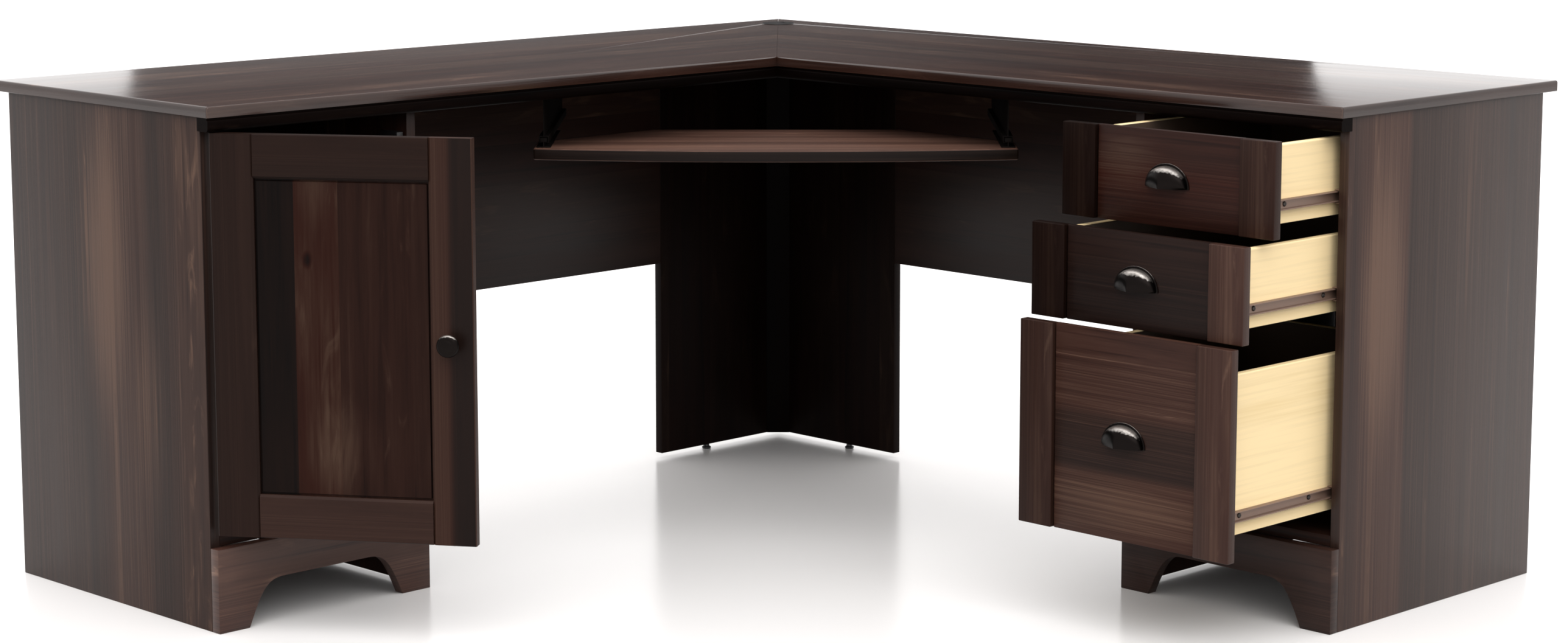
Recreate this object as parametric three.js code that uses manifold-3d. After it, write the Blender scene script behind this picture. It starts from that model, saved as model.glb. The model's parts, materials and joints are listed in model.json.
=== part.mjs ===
// An L-shaped corner desk on two pedestals: a door cabinet under the left wing, three drawers under
// the right wing, a keyboard shelf across the inner corner and a two-panel leg at the back corner.
// Millimetres, +Z up, origin on the floor under the middle of the square footprint. The back corner
// of the L lies at (-X, +Y). The desk stands with its door and drawers partly open.

import * as THREE from 'three';
import * as BufferGeometryUtils from 'three/addons/utils/BufferGeometryUtils.js';
import Module from 'manifold-3d';

const wasm = await Module();
wasm.setup();

// ---- Driving dimensions ----

const WING_LENGTH = 1654;          // each wing, from the back corner to its end
const DESK_HEIGHT = 752;
const WING_DEPTH = 546;            // top, from its back edge to its front edge
const BOARD = 16;                  // top, side panels, decks, shelf and leg panels
const GAP = 0.3;                   // between pieces that touch
const PLAY = 2;                    // around doors and drawer fronts

const PEDESTAL_WIDTH = 380;
const END_OVERHANG = 5;            // of the top past the end panel
const BACK_OVERHANG = 30;          // of the top past the pedestal's back
const FRONT_OVERHANG = 8;          // of the top past the closed fronts
const FRONT_THICKNESS = 16;        // door, drawer fronts
const PEDESTAL_BACK_THICKNESS = 4;
const INNER_PANEL_LIFT = 7;        // of the pedestal's inner panel off the floor
const BACK_PANEL_LIFT = 4;         // of its back
const RAIL_HEIGHT = 19;            // moulding under the top's front edge

const VALANCE_HEIGHT = 122;
const ARCH_HEIGHT = 66;
const ARCH_FOOT = 52;              // straight foot at each end of the valance
const ARCH_SLOPE = 62;             // run of the curved shoulder of the arch
const FRONT_LIFT = 4.7;            // deck's upper face to the fronts' lower edge

const LEG_INSET = 94;              // back edge of the top to the leg and modesty panels
const LEG_PANEL_WIDTH = 306;
const LEG_LIFT = 9;                // of the leg panels off the floor
const CORNER_POST_LEG = 30;
const MODESTY_BOTTOM = 350;
const GLIDE_RADIUS = 8;
const GLIDE_PAD = 4;               // height of its straight foot
const GLIDE_FROM_EDGE = 116;       // from the leg panel's outer edge

const GROMMET_INSET = 75;          // hole's centre, from both back edges
const GROMMET_HOLE_RADIUS = 24;
const GROMMET_FLANGE_WIDTH = 5;    // past the hole's edge
const GROMMET_WALL = 2;
const GROMMET_DEPTH = 22;
const GROMMET_FLANGE_RISE = 1.6;
const GROMMET_LEDGE_WIDTH = 1.5;   // inside the sleeve, under the cap
const GROMMET_LEDGE_THICKNESS = 1.5;
const GROMMET_SLOT_WIDTH = 11;
const CAP_RISE = 1.5;              // of the cap's face above the desk
const CAP_SINK = 1.1;              // of its underside below it

const DOOR_STILE = 62;
const DOOR_PANEL_THICKNESS = 6;
const DOOR_GROOVE = 8;
const DOOR_OPEN_DEG = 55;
const HINGE_FROM_END = 85;         // hinge centres, from the door's top and bottom
const HINGE_CUP_RADIUS = 17.5;
const HINGE_CUP_DEPTH = 11;
const HINGE_CUP_INSET = 22.5;
const HINGE_CUP_WALL = 3;
const HINGE_FLANGE_WIDTH = 3;
const HINGE_FLANGE_THICKNESS = 1.2;
const HINGE_ARM_LENGTH = 74;
const HINGE_ARM_WIDTH = 16;
const HINGE_ARM_DEPTH = 15;        // out from the end panel
const HINGE_ARM_SETBACK = 6;       // behind the end panel's front edge
const HINGE_PLATE_LENGTH = 20;
const HINGE_PLATE_THICKNESS = 5;
const KNOB_INSET = 32;
const KNOB_RADIUS = 16;
const KNOB_PROJECTION = 26;
const CABINET_SHELF_SHARE = 0.48;  // of the cabinet's inside height, below the shelf
const CABINET_SHELF_SETBACK = 18;
const CABINET_SHELF_BACK_SPACE = 8;
const CABINET_SHELF_PLAY = 1;      // at each end

const DRAWER_SMALL_FRONT = 135;
const DRAWER_GAP = 3;
const DRAWER_STILE = 60;
const DRAWER_RECESS = 5;
const BOX_SIDE = 12;
const BOX_BACK_SPACE = 47.7;       // behind a closed drawer box
const BOX_BOTTOM_THICKNESS = 3.2;
const BOX_BOTTOM_LIFT = 9;
const BOX_GROOVE = 5;
const SMALL_BOX = { lift: 16, headroom: 9 };    // box's edges in from the front's edges
const FILE_BOX = { lift: 29, headroom: 41.7 };
const DRAWER_OPEN = { top: 150, middle: 215, file: 238 };
const RUNNER_SPACE = 13;           // between a drawer box and the side panel
const RUNNER_SHORTENING = 40;      // runner's length below the drawer box's
const RUNNER_LIP_SPACE = 4;        // from each channel's lips to the other one's mounting face
const RUNNER_NEST_SPACE = 1.2;     // between the two channels' flanges
const RUNNER_HEIGHT = 20;
const RUNNER_RISE = 27;            // runner's centre above the box's lower edge
const RUNNER_METAL = 1.4;
const RUNNER_SETBACK = 3;          // fixed runner behind the case's front edge
const DRAWER_RUNNER_SETBACK = 1;   // moving runner behind the drawer front
const PULL_WIDTH = 78;
const PULL_HEIGHT = 30;
const PULL_PROJECTION = 23;
const PULL_WALL = 2;
const PULL_LIP = 4;                // straight lip below the cup's widest line
const PULL_RAISE = 5;              // above the middle of the drawer front

const SHELF_DROP = 112;            // desk's upper face down to the keyboard shelf's
const SHELF_THICKNESS = 18;
const SHELF_WIDTH = 740;
const SHELF_DEPTH = 290;
const SHELF_BOW = 33;              // how far the front edge bows out
const SHELF_SIDE = 85;             // straight side behind each front corner
const SHELF_OUT = 352;             // front of the bow, out from the top's inner corner
const HANGER_INSET = 15;           // of each hanger in from the shelf's end
const HANGER_LENGTH = 400;
const HANGER_METAL = 1.6;
const HANGER_FLANGE = 15;          // half width of the flange under the top
const HANGER_RAIL_SPACE = 2;       // behind the front rail
const TRACK_WIDTH = 15;
const TRACK_HEIGHT = 11;
const TRACK_MOUTH = 5;
const TRACK_LIFT = 6;              // above the keyboard shelf
const TRACK_PLAY = 0.8;            // around the runner's head
const SHELF_RUNNER_WIDTH = 22;
const SHELF_RUNNER_NECK = 1.6;
const SHELF_RUNNER_LENGTH = 225;
const SHELF_RUNNER_SETBACK = 8;    // behind the shelf's front corner

// ---- Derived places ----

const HALF = WING_LENGTH / 2;
const TOP_UNDERSIDE = DESK_HEIGHT - BOARD;
const RAIL_BOTTOM = TOP_UNDERSIDE - GAP - RAIL_HEIGHT;
const FRONT_FACE = WING_DEPTH - FRONT_OVERHANG;
const CARCASS_FRONT = FRONT_FACE - FRONT_THICKNESS - PLAY;
const PEDESTAL_OUTER = WING_LENGTH - END_OVERHANG;
const PEDESTAL_INNER = PEDESTAL_OUTER - PEDESTAL_WIDTH;
const BAY_START = PEDESTAL_INNER + BOARD;
const BAY_END = PEDESTAL_OUTER - BOARD;
const BAY_CENTRE = (BAY_START + BAY_END) / 2;
const DECK_TOP = VALANCE_HEIGHT + GAP + BOARD;
const FRONTS_BOTTOM = DECK_TOP + FRONT_LIFT;
const FRONTS_TOP = RAIL_BOTTOM - PLAY;
const FRONT_WIDTH = PEDESTAL_WIDTH - 2 * PLAY;
const LEG_FACE = LEG_INSET + BOARD;
const CARCASS_TOP = TOP_UNDERSIDE - GAP;
const CASE_INSIDE_BACK = BACK_OVERHANG + PEDESTAL_BACK_THICKNESS;
const FRONT_BACK = CARCASS_FRONT + PLAY;
const BOX_FRONT = FRONT_BACK - GAP;
const BOX_LENGTH = BOX_FRONT - CASE_INSIDE_BACK - BOX_BACK_SPACE;
const RUNNER_LENGTH = BOX_LENGTH - RUNNER_SHORTENING;
const RUNNER_WIDTH = RUNNER_SPACE - RUNNER_LIP_SPACE;
const SHELF_TOP_HEIGHT = DESK_HEIGHT - SHELF_DROP;

// ---- Materials ----

function finish(color, roughness, metalness = 0) {
  return new THREE.MeshStandardMaterial({ color, roughness, metalness });
}

const cherry = finish(0x4a3935, 0.45);
const cherryPanel = finish(0x4f3028, 0.45);
const cherryDark = finish(0x3b2e2c, 0.5);
const maple = finish(0xf2ddaa, 0.55);
const hardboard = finish(0x5a463a, 0.8);
const enamel = finish(0x3a2820, 0.4, 0.3);
const pewter = finish(0x5c5a58, 0.35, 0.9);
const steel = finish(0x8c8c8a, 0.35, 0.9);
const blackPlastic = finish(0x1c1a1a, 0.5);

// ---- Geometry helpers ----

/** A prism of the outline [[x, y], ...] or THREE.Shape between two heights. */
function prism(outline, bottom, top) {
  const shape = Array.isArray(outline) ? polygon(outline) : outline;
  const options = { depth: top - bottom, bevelEnabled: false, curveSegments: 12 };
  const geometry = new THREE.ExtrudeGeometry(shape, options);
  geometry.translate(0, 0, bottom);
  return geometry;
}

function polygon(points) {
  return new THREE.Shape(points.map(([x, y]) => new THREE.Vector2(x, y)));
}

/** A box between two opposite corners; y0 and y1 may come in either order. */
function block(x0, x1, y0, y1, z0, z1) {
  const geometry = new THREE.BoxGeometry(x1 - x0, Math.abs(y1 - y0), z1 - z0);
  geometry.translate((x0 + x1) / 2, (y0 + y1) / 2, (z0 + z1) / 2);
  return geometry;
}

/** Turned piece: [radius, height] points, from the axis and back to it. */
function turned(profile, segments = 32) {
  const geometry = new THREE.LatheGeometry(profile.map(([r, z]) => new THREE.Vector2(r, z)), segments);
  geometry.rotateX(Math.PI / 2);
  return geometry;
}

function toSolid(geometry) {
  const bare = geometry.clone();
  bare.deleteAttribute('normal');
  bare.deleteAttribute('uv');
  const merged = BufferGeometryUtils.mergeVertices(bare, 1e-4);
  const vertProperties = new Float32Array(merged.attributes.position.array);
  const triVerts = new Uint32Array(merged.index.array);
  return new wasm.Manifold(new wasm.Mesh({ numProp: 3, vertProperties, triVerts }));
}

function toGeometry(solid) {
  const mesh = solid.getMesh();
  const geometry = new THREE.BufferGeometry();
  geometry.setAttribute('position', new THREE.BufferAttribute(mesh.vertProperties, 3));
  geometry.setIndex(new THREE.BufferAttribute(mesh.triVerts, 1));
  return geometry;
}

function cut(geometry, ...tools) {
  return toGeometry(tools.reduce((solid, tool) => solid.subtract(toSolid(tool)), toSolid(geometry)));
}

function keep(geometry, region) {
  return toGeometry(toSolid(geometry).intersect(toSolid(region)));
}

function add(group, name, geometry, material) {
  const mesh = new THREE.Mesh(geometry, material);
  mesh.name = name;
  group.add(mesh);
  return mesh;
}

// ---- Wings ----
// A wing's own frame: x runs from the back corner along the wing, and depth runs from the back edge
// to the front. hand is the sign of y for depth: the left wing is turned a quarter turn, the right
// wing mirrors it across the diagonal.

const desk = new THREE.Group();

function makeWing(side) {
  const group = new THREE.Group();
  group.position.set(-HALF, HALF, 0);
  const hand = side === 'left' ? 1 : -1;
  group.rotation.z = side === 'left' ? -Math.PI / 2 : 0;
  desk.add(group);
  const panel = (name, x0, x1, depth0, depth1, z0, z1, material = cherry) => add(
    group, name, block(x0, x1, hand * depth0, hand * depth1, z0, z1), material);
  return { side, hand, group, panel };
}

/** Top panel, mitred to the other wing's along the diagonal, with half of the grommet's hole. */
function topPanel(wing) {
  const { hand } = wing;
  const mitre = GAP / Math.SQRT2;
  const start = GROMMET_INSET - GROMMET_HOLE_RADIUS / Math.SQRT2;
  const end = GROMMET_INSET + GROMMET_HOLE_RADIUS / Math.SQRT2;
  const shape = new THREE.Shape();
  shape.moveTo(mitre, 0);
  shape.lineTo(start + mitre, hand * start);
  shape.absarc(GROMMET_INSET + mitre, hand * GROMMET_INSET, GROMMET_HOLE_RADIUS,
    hand * 1.25 * Math.PI, hand * 0.25 * Math.PI, hand < 0);
  shape.lineTo(end + mitre, hand * end);
  shape.lineTo(WING_DEPTH + mitre, hand * WING_DEPTH);
  shape.lineTo(WING_LENGTH, hand * WING_DEPTH);
  shape.lineTo(WING_LENGTH, 0);
  add(wing.group, `top_${wing.side}_panel`, prism(shape, TOP_UNDERSIDE, DESK_HEIGHT), cherry);
}

/** Moulding under the top's front edge, mitred at the inner corner. */
function frontRail(wing) {
  const { hand } = wing;
  const mitre = GAP / Math.SQRT2;
  const back = CARCASS_FRONT + GAP;
  const outline = [
    [back + mitre, hand * back],
    [WING_DEPTH + mitre, hand * WING_DEPTH],
    [WING_LENGTH, hand * WING_DEPTH],
    [WING_LENGTH, hand * back],
  ];
  add(wing.group, `front_rail_${wing.side}`, prism(outline, RAIL_BOTTOM, CARCASS_TOP), cherry);
}

/** Arched board under the fronts, between the floor and the deck. */
function valance(wing) {
  const left = PEDESTAL_INNER;
  const right = PEDESTAL_OUTER;
  const archStart = left + ARCH_FOOT;
  const archEnd = right - ARCH_FOOT;
  const shape = new THREE.Shape();
  shape.moveTo(left, 0);
  shape.lineTo(archStart, 0);
  shape.bezierCurveTo(archStart + ARCH_SLOPE * 0.35, ARCH_HEIGHT * 0.75, archStart + ARCH_SLOPE * 0.5,
    ARCH_HEIGHT, archStart + ARCH_SLOPE, ARCH_HEIGHT);
  shape.lineTo(archEnd - ARCH_SLOPE, ARCH_HEIGHT);
  shape.bezierCurveTo(archEnd - ARCH_SLOPE * 0.5, ARCH_HEIGHT, archEnd - ARCH_SLOPE * 0.35,
    ARCH_HEIGHT * 0.75, archEnd, 0);
  shape.lineTo(right, 0);
  shape.lineTo(right, VALANCE_HEIGHT);
  shape.lineTo(left, VALANCE_HEIGHT);
  const thickness = FRONT_FACE - CARCASS_FRONT - GAP;
  const geometry = prism(shape, 0, thickness);
  geometry.rotateX(Math.PI / 2);
  geometry.translate(0, wing.hand * (FRONT_FACE - thickness / 2) + thickness / 2, 0);
  add(wing.group, `${wing.side}_valance`, geometry, cherry);
}

/** Pedestal case: end panel, inner panel, back, deck and valance. */
function pedestal(wing) {
  const { side, panel } = wing;
  const back = BACK_OVERHANG;
  panel(`${side}_end_panel`, BAY_END, PEDESTAL_OUTER, back, CARCASS_FRONT, 0, CARCASS_TOP);
  panel(`${side}_inner_panel`, PEDESTAL_INNER, BAY_START, back, CARCASS_FRONT,
    INNER_PANEL_LIFT, CARCASS_TOP);
  panel(`${side}_back_panel`, BAY_START + GAP, BAY_END - GAP, back, back + PEDESTAL_BACK_THICKNESS,
    BACK_PANEL_LIFT, CARCASS_TOP, hardboard);
  panel(`${side}_deck`, BAY_START + GAP, BAY_END - GAP, CASE_INSIDE_BACK + GAP, CARCASS_FRONT,
    VALANCE_HEIGHT + GAP, DECK_TOP, cherryDark);
  valance(wing);
}

/** Leg panel at the back corner, its glide, and the modesty panel from it to the pedestal. */
function backWall(wing) {
  const { side, hand, group, panel } = wing;
  const legStart = side === 'left' ? LEG_FACE + GAP : LEG_INSET;
  const legEnd = LEG_INSET + LEG_PANEL_WIDTH;
  panel(`corner_leg_${side}`, legStart, legEnd, LEG_INSET, LEG_FACE, LEG_LIFT, CARCASS_TOP, cherryDark);
  panel(`${side}_modesty_panel`, legEnd + GAP, PEDESTAL_INNER - GAP, LEG_INSET, LEG_FACE,
    MODESTY_BOTTOM, CARCASS_TOP);
  const glideTop = LEG_LIFT - GAP;
  const glide = turned([
    [0, 0], [GLIDE_RADIUS, 0], [GLIDE_RADIUS, GLIDE_PAD], [GLIDE_RADIUS * 0.6, glideTop], [0, glideTop],
  ], 24);
  const mesh = add(group, `leg_glide_${side}`, glide, blackPlastic);
  mesh.position.set(legEnd - GLIDE_FROM_EDGE, hand * (LEG_INSET + LEG_FACE) / 2, 0);
}

// ---- Corner post, grommet ----

function cornerPost() {
  const start = LEG_FACE + GAP;
  const outline = [
    [start, -start],
    [start + CORNER_POST_LEG, -start],
    [start, -start - CORNER_POST_LEG],
  ];
  const post = add(desk, 'corner_leg_post', prism(outline, LEG_LIFT, CARCASS_TOP), cherryDark);
  post.position.set(-HALF, HALF, 0);
}

function grommet() {
  const sleeveRadius = GROMMET_HOLE_RADIUS - GAP;
  const bore = sleeveRadius - GROMMET_WALL;
  const flange = GROMMET_HOLE_RADIUS + GROMMET_FLANGE_WIDTH;
  const ledge = bore - GROMMET_LEDGE_WIDTH;
  const ledgeTop = -CAP_SINK - GAP;
  const ledgeSlope = 0.5;
  const ledgeBottom = ledgeTop - ledgeSlope - GROMMET_LEDGE_THICKNESS;
  const edge = 1;
  const sleeve = turned([
    [bore, -GROMMET_DEPTH], [sleeveRadius, -GROMMET_DEPTH], [sleeveRadius, GAP], [flange, GAP],
    [flange - edge, GROMMET_FLANGE_RISE], [bore, GROMMET_FLANGE_RISE], [bore, ledgeTop],
    [ledge, ledgeTop - ledgeSlope], [ledge, ledgeBottom], [bore, ledgeBottom - ledgeSlope],
    [bore, -GROMMET_DEPTH],
  ], 40);
  const capRadius = bore - GAP;
  const disc = turned([
    [0, -CAP_SINK], [capRadius, -CAP_SINK], [capRadius, CAP_RISE - edge / 2],
    [capRadius - edge * 0.7, CAP_RISE], [0, CAP_RISE],
  ], 40);
  const slot = new THREE.BoxGeometry(GROMMET_SLOT_WIDTH, capRadius, 4 * (CAP_RISE + CAP_SINK));
  slot.translate(0, capRadius * 0.85, 0);
  const place = [-HALF + GROMMET_INSET, HALF - GROMMET_INSET, DESK_HEIGHT];
  const sleeveMesh = add(desk, 'grommet_sleeve', sleeve, blackPlastic);
  sleeveMesh.position.set(...place);
  const cap = add(desk, 'grommet_cap', cut(disc, slot), blackPlastic);
  cap.position.set(...place);
}

// ---- Left pedestal: shelf, door and hinges ----

/** The door is drawn closed in its own frame: x from the hinge edge to the free edge is negative,
 *  y is outward from its outer face, z is up from its middle. */
function doorCabinet(wing) {
  const shelfBottom = DECK_TOP + CABINET_SHELF_SHARE * (CARCASS_TOP - DECK_TOP);
  wing.panel('cabinet_shelf', BAY_START + CABINET_SHELF_PLAY, BAY_END - CABINET_SHELF_PLAY,
    CASE_INSIDE_BACK + CABINET_SHELF_BACK_SPACE, CARCASS_FRONT - CABINET_SHELF_SETBACK,
    shelfBottom, shelfBottom + BOARD, cherryDark);

  const height = FRONTS_TOP - FRONTS_BOTTOM;
  const half = height / 2;
  const leaf = new THREE.Group();
  leaf.position.set(PEDESTAL_OUTER - PLAY, FRONT_FACE, FRONTS_BOTTOM + half);
  leaf.rotation.z = -THREE.MathUtils.degToRad(DOOR_OPEN_DEG);
  wing.group.add(leaf);

  const opening = [-FRONT_WIDTH + DOOR_STILE, -DOOR_STILE, -half + DOOR_STILE, half - DOOR_STILE];
  const middle = -FRONT_THICKNESS / 2;
  const rim = block(-FRONT_WIDTH, 0, -FRONT_THICKNESS, 0, -half, half);
  const hole = block(opening[0], opening[1], -FRONT_THICKNESS - 1, 1, opening[2], opening[3]);
  const grooveHalf = DOOR_PANEL_THICKNESS / 2 + GAP;
  const groove = block(opening[0] - DOOR_GROOVE, opening[1] + DOOR_GROOVE, middle - grooveHalf,
    middle + grooveHalf, opening[2] - DOOR_GROOVE, opening[3] + DOOR_GROOVE);
  const cups = [-1, 1].map((end) => {
    const bore = new THREE.CylinderGeometry(HINGE_CUP_RADIUS + GAP, HINGE_CUP_RADIUS + GAP,
      HINGE_CUP_DEPTH + GAP + 1, 32);
    bore.translate(-HINGE_CUP_INSET, -FRONT_THICKNESS + (HINGE_CUP_DEPTH + GAP - 1) / 2,
      end * (half - HINGE_FROM_END));
    return bore;
  });
  add(leaf, 'door_frame', cut(rim, hole, groove, ...cups), cherry);

  const inset = DOOR_GROOVE - GAP;
  add(leaf, 'door_panel', block(opening[0] - inset, opening[1] + inset, middle - DOOR_PANEL_THICKNESS / 2,
    middle + DOOR_PANEL_THICKNESS / 2, opening[2] - inset, opening[3] + inset), cherryPanel);

  const knobProfile = [
    [0, 0], [0.53, 0], [0.47, 0.12], [0.38, 0.3], [0.41, 0.5], [0.94, 0.65], [1, 0.77], [0.84, 0.92],
    [0.45, 1], [0, 1],
  ].map(([r, h]) => [r * KNOB_RADIUS, h * KNOB_PROJECTION]);
  const knob = add(leaf, 'door_knob', turned(knobProfile), pewter);
  knob.position.set(-FRONT_WIDTH + KNOB_INSET, GAP, 0);
  knob.rotation.x = -Math.PI / 2;

  for (const [place, end] of [['lower', -1], ['upper', 1]]) {
    hinge(wing, leaf, place, end * (half - HINGE_FROM_END));
  }
}

/** Concealed hinge: a cup let into the door and an arm on the end panel. */
function hinge(wing, leaf, place, z) {
  const radius = HINGE_CUP_RADIUS;
  const seat = HINGE_CUP_DEPTH + GAP;
  const rim = seat + HINGE_FLANGE_THICKNESS;
  const cup = add(leaf, `hinge_cup_${place}`, turned([
    [0, 0], [radius, 0], [radius, seat], [radius + HINGE_FLANGE_WIDTH, seat],
    [radius + HINGE_FLANGE_WIDTH, rim], [radius - HINGE_CUP_WALL + 1, rim],
    [radius - HINGE_CUP_WALL, HINGE_CUP_WALL], [0, HINGE_CUP_WALL],
  ]), steel);
  cup.position.set(-HINGE_CUP_INSET, -FRONT_THICKNESS + HINGE_CUP_DEPTH, z);
  cup.rotation.x = Math.PI / 2;

  const face = BAY_END - GAP;
  const front = CARCASS_FRONT - HINGE_ARM_SETBACK;
  const back = front - HINGE_ARM_LENGTH;
  const slope = 6;
  const outline = [
    [face, back], [face, front - slope], [face - HINGE_ARM_DEPTH / 4, front],
    [face - HINGE_ARM_DEPTH * 0.8, front], [face - HINGE_ARM_DEPTH, front - slope],
    [face - HINGE_ARM_DEPTH, back + HINGE_PLATE_LENGTH + slope],
    [face - HINGE_PLATE_THICKNESS, back + HINGE_PLATE_LENGTH], [face - HINGE_PLATE_THICKNESS, back],
  ];
  const centre = leaf.position.z + z;
  const arm = prism(outline, centre - HINGE_ARM_WIDTH / 2, centre + HINGE_ARM_WIDTH / 2);
  add(wing.group, `hinge_arm_${place}`, arm, steel);
}

// ---- Right pedestal: drawers ----

/** A drawer's pieces are drawn closed in a group that is then pulled out by the opening. */
function drawer(wing, name, frontBottom, frontHeight, box, opening) {
  const { hand } = wing;
  const group = new THREE.Group();
  group.position.y = hand * opening;
  wing.group.add(group);
  const depthPrism = (points, z0, z1) => prism(points.map(([x, depth]) => [x, hand * depth]), z0, z1);

  const x0 = PEDESTAL_INNER + PLAY;
  const x1 = PEDESTAL_OUTER - PLAY;
  const recess = FRONT_FACE - DRAWER_RECESS;
  const outline = [
    [x0, FRONT_BACK], [x1, FRONT_BACK], [x1, FRONT_FACE], [x1 - DRAWER_STILE, FRONT_FACE],
    [x1 - DRAWER_STILE, recess], [x0 + DRAWER_STILE, recess], [x0 + DRAWER_STILE, FRONT_FACE],
    [x0, FRONT_FACE],
  ];
  add(group, `${name}_drawer_front`, depthPrism(outline, frontBottom, frontBottom + frontHeight), cherry);

  const boxLeft = BAY_START + RUNNER_SPACE;
  const boxRight = BAY_END - RUNNER_SPACE;
  const boxBack = BOX_FRONT - BOX_LENGTH;
  const bottom = frontBottom + box.lift;
  const wrap = depthPrism([
    [boxLeft, BOX_FRONT], [boxLeft, boxBack], [boxRight, boxBack], [boxRight, BOX_FRONT],
    [boxRight - BOX_SIDE, BOX_FRONT], [boxRight - BOX_SIDE, boxBack + BOX_SIDE],
    [boxLeft + BOX_SIDE, boxBack + BOX_SIDE], [boxLeft + BOX_SIDE, BOX_FRONT],
  ], bottom, frontBottom + frontHeight - box.headroom);
  const boardBottom = bottom + BOX_BOTTOM_LIFT;
  const slab = (grow, z0, z1) => block(boxLeft + BOX_SIDE - grow, boxRight - BOX_SIDE + grow,
    hand * (boxBack + BOX_SIDE - grow), hand * BOX_FRONT, z0, z1);
  const groove = slab(BOX_GROOVE, boardBottom - GAP, boardBottom + BOX_BOTTOM_THICKNESS + GAP);
  add(group, `${name}_drawer_box`, cut(wrap, groove), maple);
  const board = slab(BOX_GROOVE - GAP, boardBottom, boardBottom + BOX_BOTTOM_THICKNESS);
  add(group, `${name}_drawer_bottom`, board, maple);

  const runnerHeight = bottom + RUNNER_RISE;
  for (const [which, wall, boxWall, inward] of [
    ['inner', BAY_START, boxLeft, 1],
    ['outer', BAY_END, boxRight, -1],
  ]) {
    const fixed = channel(wall + inward * GAP, inward, RUNNER_HEIGHT, runnerHeight);
    add(wing.group, `${name}_cabinet_runner_${which}`,
      runnerBar(fixed, hand, CARCASS_FRONT - RUNNER_SETBACK), enamel);
    const nested = RUNNER_HEIGHT - 2 * (RUNNER_METAL + RUNNER_NEST_SPACE);
    const moving = channel(boxWall - inward * GAP, -inward, nested, runnerHeight);
    add(group, `${name}_drawer_runner_${which}`,
      runnerBar(moving, hand, BOX_FRONT - DRAWER_RUNNER_SETBACK), enamel);
  }

  const pull = add(group, `${name}_drawer_pull`, cupPull(hand), pewter);
  pull.position.set(BAY_CENTRE, hand * (recess + GAP), frontBottom + frontHeight / 2 + PULL_RAISE);
}

/** Section of a runner, as [x, z]: a channel whose back lies on wall and which opens towards inward. */
function channel(wall, inward, height, centre) {
  const half = height / 2;
  const inner = half - RUNNER_METAL;
  const web = wall + inward * RUNNER_METAL;
  const lip = wall + inward * RUNNER_WIDTH;
  return [
    [wall, centre - half], [lip, centre - half], [lip, centre - inner], [web, centre - inner],
    [web, centre + inner], [lip, centre + inner], [lip, centre + half], [wall, centre + half],
  ];
}

/** A runner's section swept back along the depth from its front end. */
function runnerBar(section, hand, front) {
  const geometry = prism(section, 0, RUNNER_LENGTH);
  geometry.rotateX(Math.PI / 2);
  geometry.translate(0, hand > 0 ? front : -front + RUNNER_LENGTH, 0);
  return geometry;
}

/** Cup pull: a hollow quarter of an ellipsoid with a flat back, open below. */
function cupPull(hand) {
  const dome = (shrink) => {
    const geometry = new THREE.SphereGeometry(1, 36, 18);
    geometry.rotateX(Math.PI / 2);
    geometry.scale(PULL_WIDTH / 2 - shrink, PULL_PROJECTION - shrink, PULL_HEIGHT - shrink);
    return geometry;
  };
  const shell = cut(dome(0), dome(PULL_WALL));
  const front = block(-PULL_WIDTH, PULL_WIDTH, 0, 2 * PULL_PROJECTION, -PULL_LIP, 2 * PULL_HEIGHT);
  const cup = keep(shell, front);
  cup.translate(0, 0, (PULL_LIP - PULL_HEIGHT) / 2);
  if (hand < 0) {
    cup.rotateZ(Math.PI);
  }
  return cup;
}

// ---- Keyboard shelf, in a frame turned onto the diagonal: x across, y towards the back corner ----

function keyboardShelf() {
  const innerCorner = (HALF - WING_DEPTH) * Math.SQRT2;
  const group = new THREE.Group();
  group.rotation.z = Math.PI / 4;
  group.position.set(-innerCorner / Math.SQRT2, innerCorner / Math.SQRT2, 0);
  desk.add(group);

  const half = SHELF_WIDTH / 2;
  const bowRadius = (half * half + SHELF_BOW * SHELF_BOW) / (2 * SHELF_BOW);
  const bowAngle = Math.asin(half / bowRadius);
  const corner = -SHELF_OUT + SHELF_BOW;
  const sideEnd = corner + SHELF_SIDE;
  const back = -SHELF_OUT + SHELF_DEPTH;
  const clip = back - sideEnd;
  const shape = new THREE.Shape();
  shape.moveTo(half, corner);
  shape.lineTo(half, sideEnd);
  shape.lineTo(half - clip, back);
  shape.lineTo(-half + clip, back);
  shape.lineTo(-half, sideEnd);
  shape.lineTo(-half, corner);
  const front = 1.5 * Math.PI;
  shape.absarc(0, -SHELF_OUT + bowRadius, bowRadius, front - bowAngle, front + bowAngle, false);
  add(group, 'keyboard_shelf', prism(shape, SHELF_TOP_HEIGHT - SHELF_THICKNESS, SHELF_TOP_HEIGHT), cherry);

  for (const [side, sign] of [['left', -1], ['right', 1]]) {
    shelfHanger(group, side, sign * (half - HANGER_INSET), corner);
  }
}

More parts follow.
